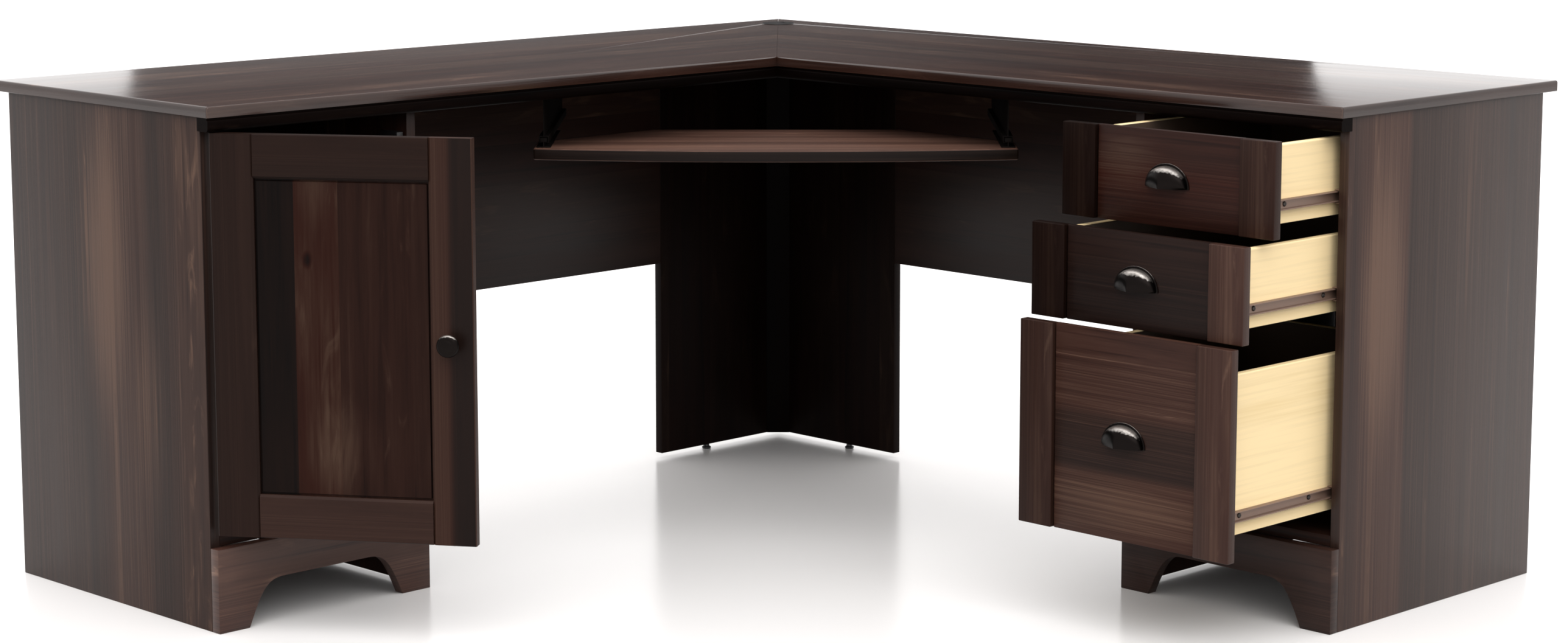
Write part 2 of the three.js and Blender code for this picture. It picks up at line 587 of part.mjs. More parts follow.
/** Hanger with a track at its foot, and the runner on the shelf that slides in the track. */
function shelfHanger(group, side, x, corner) {
  const wall = HANGER_METAL;
  const flange = HANGER_FLANGE;
  const mouth = TRACK_MOUTH / 2;
  const halfTrack = TRACK_WIDTH / 2;
  const inner = halfTrack - wall;
  const trackBottom = SHELF_TOP_HEIGHT + TRACK_LIFT;
  const trackTop = trackBottom + TRACK_HEIGHT;
  const floor = trackBottom + wall;
  const roof = trackTop - wall;
  const top = CARCASS_TOP;
  const hangerSection = [
    [-halfTrack, trackBottom], [-mouth, trackBottom], [-mouth, floor], [-inner, floor], [-inner, roof],
    [inner, roof], [inner, floor], [mouth, floor], [mouth, trackBottom], [halfTrack, trackBottom],
    [halfTrack, trackTop], [wall / 2, trackTop], [wall / 2, top - wall], [flange, top - wall],
    [flange, top], [-flange, top], [-flange, top - wall], [-wall / 2, top - wall],
    [-wall / 2, trackTop], [-halfTrack, trackTop],
  ];
  const railBack = (WING_DEPTH - CARCASS_FRONT - GAP) * Math.SQRT2;
  const hangerFront = -Math.abs(x) + flange + railBack + HANGER_RAIL_SPACE;
  add(group, `keyboard_hanger_${side}`, along(hangerSection, x, hangerFront, HANGER_LENGTH), enamel);

  const base = SHELF_TOP_HEIGHT + GAP;
  const plate = SHELF_RUNNER_WIDTH / 2;
  const neck = SHELF_RUNNER_NECK / 2;
  const head = inner - TRACK_PLAY;
  const headBottom = floor + TRACK_PLAY;
  const headTop = roof - TRACK_PLAY;
  const runnerSection = [
    [-plate, base], [plate, base], [plate, base + wall], [neck, base + wall], [neck, headBottom],
    [head, headBottom], [head, headTop], [-head, headTop], [-head, headBottom], [-neck, headBottom],
    [-neck, base + wall], [-plate, base + wall],
  ];
  add(group, `keyboard_runner_${side}`,
    along(runnerSection, x, corner + SHELF_RUNNER_SETBACK, SHELF_RUNNER_LENGTH), enamel);
}

/** A section [x, z] swept towards the back corner from front. */
function along(section, x, front, length) {
  const geometry = prism(section, 0, length);
  geometry.rotateX(Math.PI / 2);
  geometry.translate(x, front + length, 0);
  return geometry;
}

// ---- Assembly ----

const left = makeWing('left');
const right = makeWing('right');
for (const wing of [left, right]) {
  topPanel(wing);
  frontRail(wing);
  pedestal(wing);
  backWall(wing);
}
cornerPost();
grommet();
doorCabinet(left);

const fileFrontHeight = FRONTS_TOP - FRONTS_BOTTOM - 2 * (DRAWER_SMALL_FRONT + DRAWER_GAP);
const middleFrontBottom = FRONTS_BOTTOM + fileFrontHeight + DRAWER_GAP;
const topFrontBottom = middleFrontBottom + DRAWER_SMALL_FRONT + DRAWER_GAP;
drawer(right, 'top', topFrontBottom, DRAWER_SMALL_FRONT, SMALL_BOX, DRAWER_OPEN.top);
drawer(right, 'middle', middleFrontBottom, DRAWER_SMALL_FRONT, SMALL_BOX, DRAWER_OPEN.middle);
drawer(right, 'file', FRONTS_BOTTOM, fileFrontHeight, FILE_BOX, DRAWER_OPEN.file);
keyboardShelf();

export default desk;
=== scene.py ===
"""Corner desk in rustic cherry laminate: an L-shaped top on a door cabinet and a drawer pedestal,
with a keyboard shelf across the inner corner. Metres, +Z up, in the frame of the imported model."""

import json
import math

import bmesh
import bpy
from bpy.props import FloatProperty, FloatVectorProperty, PointerProperty
from mathutils import Matrix, Vector


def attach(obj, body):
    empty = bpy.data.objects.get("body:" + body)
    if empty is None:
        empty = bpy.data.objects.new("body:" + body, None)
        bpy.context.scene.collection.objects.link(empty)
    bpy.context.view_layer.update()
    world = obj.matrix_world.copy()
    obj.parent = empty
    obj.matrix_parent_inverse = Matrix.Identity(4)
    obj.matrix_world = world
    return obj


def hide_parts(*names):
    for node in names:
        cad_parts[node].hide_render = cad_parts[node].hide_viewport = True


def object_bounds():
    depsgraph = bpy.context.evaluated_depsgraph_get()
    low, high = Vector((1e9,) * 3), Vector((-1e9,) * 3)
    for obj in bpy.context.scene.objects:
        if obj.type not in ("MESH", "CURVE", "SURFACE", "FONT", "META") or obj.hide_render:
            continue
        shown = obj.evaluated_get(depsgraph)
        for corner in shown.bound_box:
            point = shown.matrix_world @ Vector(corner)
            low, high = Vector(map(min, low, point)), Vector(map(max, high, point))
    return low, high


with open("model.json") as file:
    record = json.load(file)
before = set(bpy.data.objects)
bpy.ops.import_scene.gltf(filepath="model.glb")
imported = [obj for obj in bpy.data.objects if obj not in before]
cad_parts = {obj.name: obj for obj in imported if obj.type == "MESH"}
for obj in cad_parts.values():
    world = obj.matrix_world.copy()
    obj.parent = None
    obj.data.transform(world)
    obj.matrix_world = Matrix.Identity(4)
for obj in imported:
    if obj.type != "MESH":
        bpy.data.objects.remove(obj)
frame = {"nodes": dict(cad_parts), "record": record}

bl_info = {
    "name": "Corner Desk",
    "version": (1, 0, 0),
    "blender": (4, 5, 0),
    "location": "3D Viewport > Sidebar > Corner Desk",
    "description": "Builds the corner desk's boards, fittings and finishes around its packed frame",
    "category": "Add Mesh",
}

CAD_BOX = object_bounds()
HALF = CAD_BOX[1].x                # half of the square footprint
HINGE = next(j for j in frame["record"]["behaviour"]["joints"] if j["name"] == "door_hinge")
DOOR_ANGLE = math.radians(-HINGE["range_deg"][0])
THIN_EDGE = 0.0004                 # eased edges of thin sheets and rolled steel
FINE_EDGE = 0.0003                 # eased edges of pressed metal and moulded plastic


def linear(code):
    """An sRGB hex colour as linear RGB."""
    values = [int(code[i:i + 2], 16) / 255 for i in (1, 3, 5)]
    return tuple(v / 12.92 if v <= 0.04045 else ((v + 0.055) / 1.055) ** 2.4 for v in values)


# ---- Frames of the desk's parts: each takes a part's own coordinates to the desk's ----

# A wing: x along it from the back corner, y from its back edge to its front edge.
LEFT_WING = Matrix(((0, 1, 0, -HALF), (-1, 0, 0, HALF), (0, 0, 1, 0), (0, 0, 0, 1)))
RIGHT_WING = Matrix(((1, 0, 0, -HALF), (0, -1, 0, HALF), (0, 0, 1, 0), (0, 0, 0, 1)))
WINGS = {"left": LEFT_WING, "right": RIGHT_WING}
# The door: x from its hinge edge to its free edge, y from its outer face inwards.
DOOR = (Matrix.Translation((HINGE["pos_m"][0], HINGE["pos_m"][1], 0))
        @ Matrix.Rotation(math.pi / 2 - DOOR_ANGLE, 4, "Z"))
# The keyboard shelf: x across, y towards the back corner.
SHELF = Matrix.Rotation(math.pi / 4, 4, "Z")


# ---- Sizes and colours ----


def length(name, description, default):
    return FloatProperty(name=name, description=description, default=default, min=0.0001,
                         precision=4, unit="LENGTH", subtype="DISTANCE")


def colour(name, description, code):
    return FloatVectorProperty(name=name, description=description, default=linear(code),
                               min=0.0, max=1.0, size=3, subtype="COLOR")


class CornerDeskSizes(bpy.types.PropertyGroup):
    """Sizes that the boards and fittings are finished to"""

    board_edge: length("Board edge", "Radius of the eased edges of laminated boards", 0.0008)
    top_edge: length("Top edge", "Radius of the desk top's front and end edges", 0.0032)
    rail_round: length("Rail round", "Radius along the lower edge of the front rails", 0.0048)
    stile_edge: length("Stile edge", "Radius of the edges of the drawers' raised stiles", 0.0014)
    box_rim: length("Box rim", "Radius along the drawer boxes' upper rims", 0.0018)
    shelf_edge: length("Shelf edge", "Radius round the keyboard shelf's edge", 0.0028)
    door_stile: length("Door stile", "Width of the door's stiles and rails", 0.062)
    door_slope: length("Door slope", "Width of the sloped inner edge of the door's frame", 0.0035)
    drawer_stile: length("Drawer stile", "Width of the raised border at a drawer front's ends", 0.060)
    drawer_recess: length("Drawer recess", "Depth of a drawer front's centre behind its stiles", 0.005)
    groove_width: length("Groove width", "Width of the groove between a frame and its centre", 0.003)
    groove_depth: length("Groove depth", "Depth of that groove below the centre's face", 0.003)
    pull_wall: length("Pull wall", "Wall of the cast cup pulls", 0.002)
    pull_flange: length("Pull flange", "Width of the flat flange round a cup pull", 0.0035)
    screw_head: length("Screw head", "Diameter of the pan-head screws", 0.0075)
    shelf_pin: length("Shelf pin", "Diameter of the pins that hold the cabinet shelf", 0.005)


class CornerDeskColours(bpy.types.PropertyGroup):
    """Colours of the desk's finishes and of its surroundings"""

    cherry_shadow: colour("Cherry, darkest", "Burnt grain of the cherry laminate", "#140c0a")
    cherry_dark: colour("Cherry, dark", "Dark boards of the cherry laminate", "#2b1c17")
    cherry: colour("Cherry", "Middle tone of the cherry laminate", "#46322a")
    cherry_light: colour("Cherry, light", "Rubbed grain of the cherry laminate", "#75594a")
    cherry_red: colour("Cherry, red", "Red stain of the cherry laminate", "#4f251a")
    maple: colour("Maple", "Foil of the drawer boxes", "#f2d9a8")
    maple_grain: colour("Maple grain", "Darker grain lines of the drawer boxes' foil", "#ebd09b")
    # Painted shade: the brown that the maple foil is multiplied by inside the drawer boxes.
    lining: colour("Lining", "Brown foil inside the drawer boxes", "#3a2e28")
    hardboard: colour("Hardboard", "Painted hardboard of the cabinet backs", "#3b2c24")
    enamel: colour("Enamel", "Brown enamel of the drawers' steel runners", "#2e1e17")
    # Black, partly the hangers' own enamel and partly painted shade under the top.
    hanger: colour("Hanger", "Black enamel of the keyboard shelf's hangers", "#0b0807")
    pewter: colour("Pewter", "Blackened pewter of the pulls and the knob", "#161312")
    # Painted highlight: the colour of the pewter's faces that look up.
    pewter_highlight: colour("Rubbed pewter", "Pewter where wear has rubbed it bright", "#cfc9c3")
    nickel: colour("Nickel", "Nickel plate of the hinges and screws", "#b8b5ae")
    oxide: colour("Black oxide", "Blackened steel of the screws", "#3a3735")
    plastic: colour("Plastic", "Black plastic of the grommet and the glides", "#131213")
    floor: colour("Floor", "Pale polished floor", "#fbf9f8")
    backdrop: colour("Backdrop", "Wall round the floor", "#fdfbfc")


# ---- Meshes ----


def block(low, high):
    """A closed box between two corners, as a bmesh."""
    bm = bmesh.new()
    bmesh.ops.create_cube(bm, size=1)
    low, high = Vector(low), Vector(high)
    for v in bm.verts:
        v.co = Vector(map(lambda a, b, t: a + (b - a) * (t + 0.5), low, high, v.co))
    return bm


def ease(bm, radius, segments=2, chosen=None, sharp=25):
    """Rounds the edges where faces meet at more than sharp degrees, or only the chosen ones of them."""
    edges = [e for e in bm.edges if len(e.link_faces) == 2
             and math.degrees(e.calc_face_angle(0)) > sharp and (chosen is None or chosen(e))]
    bmesh.ops.bevel(bm, geom=edges, offset=radius, offset_type="OFFSET", segments=segments,
                    profile=0.5, affect="EDGES", clamp_overlap=True)
    return bm


def copy_of(node, place):
    """A CAD node's mesh in a part's own frame, with its coplanar triangles joined into faces."""
    bm = bmesh.new()
    bm.from_mesh(frame["nodes"][node].data)
    bm.transform(place.inverted())
    bmesh.ops.remove_doubles(bm, verts=bm.verts, dist=1e-6)
    bmesh.ops.dissolve_limit(bm, angle_limit=math.radians(0.5), verts=bm.verts, edges=bm.edges)
    if place.determinant() < 0:
        bmesh.ops.reverse_faces(bm, faces=bm.faces)
    return bm


def box_in(node, place):
    """A CAD node's lowest and highest corner in a part's own frame."""
    inverse = place.inverted()
    points = [inverse @ v.co for v in frame["nodes"][node].data.vertices]
    return (Vector([min(p[i] for p in points) for i in range(3)]),
            Vector([max(p[i] for p in points) for i in range(3)]))


def turned(profile, segments=48):
    """A turned piece round Z from (radius, height) points that start and end on the axis."""
    bm = bmesh.new()
    verts = [bm.verts.new((r, 0, z)) for r, z in profile]
    edges = [bm.edges.new(pair) for pair in zip(verts, verts[1:])]
    bmesh.ops.spin(bm, geom=verts + edges, cent=(0, 0, 0), axis=(0, 0, 1), angle=2 * math.pi,
                   steps=segments, use_duplicate=False)
    bmesh.ops.remove_doubles(bm, verts=bm.verts, dist=1e-6)
    bmesh.ops.recalc_face_normals(bm, faces=bm.faces)
    return bm


def swept(profile, start, end):
    """A closed moulding: start(a, b) and end(a, b) place each profile point (a, b) at its two ends."""
    bm = bmesh.new()
    first = [bm.verts.new(start(a, b)) for a, b in profile]
    last = [bm.verts.new(end(a, b)) for a, b in profile]
    count = len(profile)
    for i in range(count):
        j = (i + 1) % count
        bm.faces.new((first[i], first[j], last[j], last[i]))
    bm.faces.new(first[::-1])
    bm.faces.new(last)
    bmesh.ops.recalc_face_normals(bm, faces=bm.faces)
    return bm


def joined(*meshes):
    """One bmesh from several, each left whole."""
    together = bmesh.new()
    for bm in meshes:
        part = bpy.data.meshes.new("part")
        bm.to_mesh(part)
        bm.free()
        together.from_mesh(part)
        bpy.data.meshes.remove(part)
    return together


def fielded(low, high, margin, depth):
    """A closed board whose front face, its low y, has a rebate of that margin and depth all round."""
    inner = (low.x + margin, high.x - margin, low.z + margin, high.z - margin)
    outer = (low.x, high.x, low.z, high.z)
    bm = bmesh.new()
    rings = []
    for (x0, x1, z0, z1), y in ((outer, high.y), (outer, low.y + depth), (inner, low.y + depth),
                                (inner, low.y)):
        rings.append([bm.verts.new((x, y, z)) for x, z in ((x0, z0), (x1, z0), (x1, z1), (x0, z1))])
    for ring, following in zip(rings, rings[1:]):
        for i in range(4):
            j = (i + 1) % 4
            bm.faces.new((ring[i], ring[j], following[j], following[i]))
    bm.faces.new(rings[0])
    bm.faces.new(rings[-1])
    bmesh.ops.recalc_face_normals(bm, faces=bm.faces)
    return bm


def arc(centre, radius, start, end, steps):
    """Points (a, b) on an arc, its angles in degrees."""
    turn = [math.radians(start + (end - start) * i / steps) for i in range(steps + 1)]
    return [(centre[0] + radius * math.cos(t), centre[1] + radius * math.sin(t)) for t in turn]


def write_grain(mesh, along, origin):
    """Stores at each face corner its place along the grain, across it and out of the surface, in
    metres from origin. A face that the grain runs out of turns its grain to the next axis."""
    grain = mesh.attributes.new("grain", "FLOAT_VECTOR", "CORNER")
    for face in mesh.polygons:
        axis = along
        if abs(face.normal[axis]) > 0.8:
            axis = max((i for i in range(3) if i != along), key=lambda i: (abs(face.normal[i]) < 0.5, -i))
        rest = sorted((i for i in range(3) if i != axis), key=lambda i: abs(face.normal[i]))
        for loop in face.loop_indices:
            p = mesh.vertices[mesh.loops[loop].vertex_index].co - origin
            grain.data[loop].vector = (p[axis], p[rest[0]], p[rest[1]])


def mark(mesh, name, test):
    """Stores 1 at the corners of the faces that pass a test and 0 at the others."""
    marks = mesh.attributes.new(name, "FLOAT", "CORNER")
    for face in mesh.polygons:
        for loop in face.loop_indices:
            marks.data[loop].value = float(test(face))


def piece(name, bm, material, place=Matrix(), body="desk", replaces=(), grain=None, origin=None,
          smooth=30, marks=()):
    """Turns a bmesh in a part's own frame into an object that rides on a body. grain is the axis of
    that frame that the grain follows; smooth is the angle under which faces shade as one; marks are
    the named tests of faces that its material needs."""
    mesh = bpy.data.meshes.new(name)
    bm.normal_update()
    bm.to_mesh(mesh)
    bm.free()
    if grain is not None:
        low = Vector([min(v.co[i] for v in mesh.vertices) for i in range(3)])
        write_grain(mesh, grain, low if origin is None else Vector(origin))
    for title, test in dict(marks).items():
        mark(mesh, title, test)
    mesh.transform(place)
    if place.determinant() < 0:
        mesh.flip_normals()
    mesh.materials.append(material)
    mesh.shade_smooth()
    mesh.set_sharp_from_angle(angle=math.radians(smooth))
    made = bpy.data.objects.new(name, mesh)
    bpy.context.scene.collection.objects.link(made)
    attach(made, body)
    if replaces:
        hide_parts(*replaces)
    return made


def board(name, node, finish, place=Matrix(), grain=0):
    """A laminated board: its CAD node with eased edges."""
    bm = ease(copy_of(node, place), bpy.context.scene.corner_desk_sizes.board_edge)
    piece(name, bm, finish, place, replaces=(node,), grain=grain)


# ---- Materials ----


def connect(tree, node, inputs):
    """Sets a node's inputs, each to a value or to the output that feeds it."""
    for key, value in dict(inputs).items():
        if isinstance(value, bpy.types.NodeSocket):
            tree.links.new(value, node.inputs[key])
        else:
            node.inputs[key].default_value = value


def add_node(tree, kind, settings=(), inputs=(), stops=()):
    """Adds a shader node with its settings, its inputs and the stops (place, colour) of its ramp."""
    made = tree.nodes.new("ShaderNode" + kind)
    for name, value in dict(settings).items():
        setattr(made, name, value)
    connect(tree, made, inputs)
    if stops:
        elements = made.color_ramp.elements
        while len(elements) < len(stops):
            elements.new(0.5)
        for element, (place, value) in zip(elements, stops):
            element.position = place
            element.color = (*value, 1)
    return made


def maths(tree, operation, *values):
    """What a Math node makes of values and outputs."""
    return add_node(tree, "Math", {"operation": operation}, dict(enumerate(values))).outputs[0]


def vectors(tree, operation, *values):
    """The vector that a Vector Math node makes of vectors and outputs."""
    return add_node(tree, "VectorMath", {"operation": operation}, dict(enumerate(values))).outputs[0]


def soft_step(tree, value, start, end):
    """Runs from 0 at start to 1 at end, with soft ends."""
    return add_node(tree, "MapRange", {"interpolation_type": "SMOOTHSTEP"}, {
        "Value": value, "From Min": start, "From Max": end}).outputs[0]


def spread_over(tree, value, low, high):
    """Runs from low where a pattern is 0 to high where it is 1."""
    return add_node(tree, "MapRange", inputs={"Value": value, "To Min": low, "To Max": high}).outputs[0]


def noise(tree, place, scale, detail, **more):
    """A noise pattern of scale cells per metre."""
    return add_node(tree, "TexNoise", inputs={
        "Vector": place, "Scale": scale, "Detail": detail, **more}).outputs["Fac"]


def relief(tree, height, strength, distance):
    """Normals for a pattern that stands out by a distance in metres."""
    return add_node(tree, "Bump", inputs={
        "Strength": strength, "Distance": distance, "Height": height}).outputs[0]


def ellipse(tree, place, along, across, stretch):
    """How far a place is from (along, across), in lengths of 1 / stretch."""
    away = vectors(tree, "SUBTRACT", place, (along, across, 0))
    flat = vectors(tree, "MULTIPLY", away, stretch)
    return add_node(tree, "VectorMath", {"operation": "LENGTH"}, {0: flat}).outputs[1]


def new_material(name):
    """An empty material: its node tree and its Principled shader."""
    material = bpy.data.materials.new(name)
    material.use_nodes = True
    tree = material.node_tree
    tree.nodes.clear()
    shader = add_node(tree, "BsdfPrincipled")
    add_node(tree, "OutputMaterial", inputs={"Surface": shader.outputs[0]})
    return material, tree, shader


def show(tree, shader, other):
    """Puts another shader in the place of a material's Principled one."""
    output = next(node for node in tree.nodes if node.type == "OUTPUT_MATERIAL")
    tree.links.new(other.outputs[0], output.inputs["Surface"])
    tree.nodes.remove(shader)


def shades(base, factor):
    """A colour made darker or lighter."""
    return tuple(min(1.0, c * factor) for c in base)


def cherry_laminate(name, planks, width, shade=1.0, gloss=0.5, roughness=0.38, knots=(), figures=(),
                    figure=1.0, soft=False, edges=1.0):
    """Melamine laminate printed as rustic cherry planks, pressed on particleboard: its print shows
    streaks, rubbed light grain, burnt dark grain and knots under a satin coat that is almost smooth,
    so the eye sees deep brown with a soft haze where light grazes it. planks are (start across the
    grain in metres, tone, redness); tone and redness run from 0 to 1. knots are (along, across,
    radius), and figures, where the light grain gathers, are (along, across, half length, half width,
    strength). soft planks run into each other; edges multiplies the colour of the faces marked edge,
    as painted shade on them."""
    if name in bpy.data.materials:
        return bpy.data.materials[name]
    colours = bpy.context.scene.corner_desk_colours
    material, tree, shader = new_material(name)
    place = add_node(tree, "Attribute", {"attribute_name": "grain"}).outputs["Vector"]
    split = add_node(tree, "SeparateXYZ", inputs={0: place})
    share = maths(tree, "DIVIDE", split.outputs[1], width)
    steps = [(start / width, (tone, red, (i * 0.37) % 1)) for i, (start, tone, red) in enumerate(planks)]
    plank = add_node(tree, "ValToRGB", inputs={0: share}, stops=steps)
    plank.color_ramp.interpolation = "EASE" if soft else "CONSTANT"
    kind = add_node(tree, "SeparateColor", inputs={0: plank.outputs[0]})
    # Each plank shows another stretch of the print, 7 m along it for the next.
    shift = maths(tree, "MULTIPLY", kind.outputs[2], 7.0)
    there = vectors(tree, "ADD", place, add_node(tree, "CombineXYZ", inputs={0: shift, 2: shift}).outputs[0])

    patterns = {}
    for title, scale, detail, distortion in (
            ("fine", (9.0, 330.0, 330.0), 3.0, 0.0),      # grain lines 3 mm apart
            ("streak", (2.4, 46.0, 46.0), 4.0, 0.5),      # streaks 20 mm wide
            ("cloud", (1.7, 8.0, 8.0), 3.0, 0.4),         # stain clouds 120 mm wide
            ("rub", (8.0, 42.0, 42.0), 5.0, 1.5),         # rubbed light grain 24 mm wide
            ("burn", (2.0, 110.0, 110.0), 3.0, 0.2)):     # burnt lines 9 mm wide
        patterns[title] = noise(tree, vectors(tree, "MULTIPLY", there, scale), 1.0, detail,
                                Roughness=0.55, Distortion=distortion)
    rubbed = soft_step(tree, patterns["rub"], 0.53, 0.74)
    clouded = soft_step(tree, patterns["cloud"], 0.42, 0.66)
    burnt = soft_step(tree, patterns["burn"], 0.44, 0.24)
    terms = [(patterns["fine"], 0.22 * figure, -0.11 * figure),
             (patterns["streak"], 0.7 * figure, -0.35 * figure),
             (patterns["cloud"], 0.7 * figure, -0.35 * figure),
             (maths(tree, "MULTIPLY", rubbed, clouded), 0.42 * figure, 0.0),
             (burnt, -0.3 * figure, 0.0)]
    for along, across, radius in knots:
        # A knot is drawn out along the grain and darkens towards its heart.
        span = ellipse(tree, place, along, across, (0.6 / radius, 1 / radius, 0))
        terms.append((soft_step(tree, span, 2.4, 0.4), -0.5, 0.0))
    for along, across, half_length, half_width, strength in figures:
        span = ellipse(tree, place, along, across, (1 / half_length, 1 / half_width, 0))
        near = soft_step(tree, span, 1.0, 0.1)
        terms.append((maths(tree, "MULTIPLY", near, patterns["rub"]), strength, 0.0))
    tone = kind.outputs[0]
    for pattern, gain, offset in terms:
        tone = maths(tree, "MULTIPLY_ADD", pattern, gain, tone)
        if offset:
            tone = maths(tree, "ADD", tone, offset)
    brown = add_node(tree, "ValToRGB", inputs={0: tone}, stops=[
        (0.0, shades(colours.cherry_shadow, shade)), (0.3, shades(colours.cherry_dark, shade)),
        (0.6, shades(colours.cherry, shade)), (1.0, shades(colours.cherry_light, shade))])
    red = add_node(tree, "ValToRGB", inputs={0: tone}, stops=[
        (0.0, shades(colours.cherry_shadow, shade)), (0.5, shades(colours.cherry_red, shade)),
        (1.0, shades(colours.cherry_light, shade))])
    printed = add_node(tree, "Mix", {"data_type": "RGBA"}, {
        0: kind.outputs[1], 6: brown.outputs[0], 7: red.outputs[0]}).outputs[2]
    # Painted shade: faces marked edge are multiplied darker by edges.
    if edges != 1.0:
        band = add_node(tree, "Attribute", {"attribute_name": "edge"}).outputs["Fac"]
        printed = add_node(tree, "Mix", {"data_type": "RGBA", "blend_type": "MULTIPLY"}, {
            0: band, 6: printed, 7: (edges, edges, edges, 1)}).outputs[2]
    connect(tree, shader, {
        "Base Color": printed, "IOR": 1.5, "Specular IOR Level": gloss,
        "Roughness": spread_over(tree, patterns["streak"], roughness - 0.06, roughness + 0.08),
        "Normal": relief(tree, patterns["fine"], 0.25, 0.00025)})
    return material


def maple_foil():
    """Paper foil printed as maple, wrapped round the drawer boxes: pale cream with fine straight grain
    lines and a low satin. Inside the boxes it is darkened to brown as painted shade."""
    if "maple_foil" in bpy.data.materials:
        return bpy.data.materials["maple_foil"]
    colours = bpy.context.scene.corner_desk_colours
    material, tree, shader = new_material("maple_foil")
    place = add_node(tree, "Attribute", {"attribute_name": "grain"}).outputs["Vector"]
    # Grain lines 5 mm apart over cathedral bands 70 mm wide.
    lines = noise(tree, vectors(tree, "MULTIPLY", place, (5.0, 210.0, 210.0)), 1.0, 4.0)
    bands = noise(tree, vectors(tree, "MULTIPLY", place, (1.5, 14.0, 14.0)), 1.0, 2.0)
    tint = add_node(tree, "ValToRGB", inputs={0: maths(tree, "MULTIPLY_ADD", bands, 0.8, lines)}, stops=[
        (0.62, tuple(colours.maple_grain)), (0.86, tuple(colours.maple)),
        (1.0, shades(colours.maple, 1.05))]).outputs[0]
    # Painted shade: faces marked as looking into a drawer have the maple multiplied by a dark brown.
    inside = add_node(tree, "Attribute", {"attribute_name": "lining"}).outputs["Fac"]
    brown = add_node(tree, "Mix", {"data_type": "RGBA", "blend_type": "MULTIPLY"}, {
        0: 1.0, 6: tint, 7: (*colours.lining, 1)}).outputs[2]
    faced = add_node(tree, "Mix", {"data_type": "RGBA"}, {0: inside, 6: tint, 7: brown}).outputs[2]
    connect(tree, shader, {
        "Base Color": faced, "Roughness": 0.5, "Normal": relief(tree, lines, 0.15, 0.0002)})
    return material


def hardboard():
    """Hardboard painted brown on its smooth side: matt, with a faint speckle of pressed fibres."""
    if "painted_hardboard" in bpy.data.materials:
        return bpy.data.materials["painted_hardboard"]
    base = bpy.context.scene.corner_desk_colours.hardboard
    material, tree, shader = new_material("painted_hardboard")
    place = add_node(tree, "TexCoord").outputs["Object"]
    fibres = noise(tree, place, 420.0, 5.0)
    blotch = noise(tree, place, 6.0, 3.0)
    tint = add_node(tree, "ValToRGB", inputs={0: maths(tree, "ADD", fibres, blotch)}, stops=[
        (0.7, shades(base, 0.75)), (1.0, shades(base, 1.25))])
    connect(tree, shader, {
        "Base Color": tint.outputs[0], "Roughness": 0.75, "Normal": relief(tree, fibres, 0.3, 0.0003)})
    return material


def coated(name, shade, roughness, metallic=0.0, grit=900.0, spread=0.25, depth=0.0001, level=0.5):
    """A moulded, plated or enamelled surface: one of the desk's colours, varying softly, with a fine
    skin. grit is the skin's grains per metre."""
    if name in bpy.data.materials:
        return bpy.data.materials[name]
    base = getattr(bpy.context.scene.corner_desk_colours, shade)
    material, tree, shader = new_material(name)
    place = add_node(tree, "TexCoord").outputs["Object"]
    skin = noise(tree, place, grit, 3.0)
    drift = noise(tree, place, 38.0, 4.0)
    tint = add_node(tree, "ValToRGB", inputs={0: drift}, stops=[
        (0.3, shades(base, 1 - spread)), (0.7, shades(base, 1 + spread))])
    connect(tree, shader, {
        "Base Color": tint.outputs[0], "Metallic": metallic,
        "Roughness": spread_over(tree, skin, roughness - 0.05, roughness + 0.08),
        "Normal": relief(tree, skin, 0.3, depth)})
    if not metallic:
        shader.inputs["Specular IOR Level"].default_value = level
    return material


def brown_enamel():
    """Baked enamel on rolled steel: brown, smooth and half gloss, with a light orange peel."""
    return coated("brown_enamel", "enamel", 0.45, grit=700.0, level=0.06)


def black_enamel():
    """Stoved enamel on the keyboard shelf's pressed hangers: black, with hardly any gloss; the black is
    partly painted shade for the dark under the top.
    """
    return coated("black_enamel", "hanger", 0.6, grit=700.0, level=0.04)


def antique_pewter():
    """Zinc casting, plated with pewter and blackened: charcoal metal, with a painted highlight on the
    faces that look up, standing for the light that falls on them from above."""
    if "antique_pewter" in bpy.data.materials:
        return bpy.data.materials["antique_pewter"]
    colours = bpy.context.scene.corner_desk_colours
    material, tree, shader = new_material("antique_pewter")
    place = add_node(tree, "TexCoord").outputs["Object"]
    cast = noise(tree, place, 260.0, 3.0)       # cast grains of 4 mm
    # Painted highlight: the more a face looks up, the brighter it is, its edge broken by the cast grains.
    way = add_node(tree, "SeparateXYZ", inputs={0: add_node(tree, "NewGeometry").outputs["Normal"]})
    highlight_amount = maths(tree, "MULTIPLY_ADD", cast, 0.35, way.outputs[2])
    tint = add_node(tree, "ValToRGB", inputs={0: highlight_amount}, stops=[
        (0.72, tuple(colours.pewter)), (1.0, tuple(colours.pewter_highlight))])
    connect(tree, shader, {
        "Base Color": tint.outputs[0], "Metallic": 1.0, "Roughness": spread_over(tree, cast, 0.26, 0.44),
        "Normal": relief(tree, cast, 0.3, 0.00015)})
    return material


def nickel_plate():
    """Nickel-plated pressed steel: bright warm grey metal with a fine rolled grain."""
    return coated("nickel_plate", "nickel", 0.28, 1.0, 1200.0, 0.08, 0.00005)


def blackened_steel():
    """Steel screws dipped in hot black oxide: near black, with a dull oily gleam."""
    return coated("blackened_steel", "oxide", 0.4, 1.0, 1100.0, 0.15, 0.00005)


def black_plastic():
    """Moulded black ABS with a fine spark-eroded skin that dulls its shine."""
    return coated("black_abs", "plastic", 0.42, grit=1500.0)


# Planks of a board with no figure of its own: start in metres, tone and redness.
EVEN = ((0.0, 0.42, 0.2), (0.09, 0.5, 0.1), (0.17, 0.36, 0.35), (0.27, 0.5, 0.15), (0.34, 0.4, 0.3),
        (0.43, 0.46, 0.2))


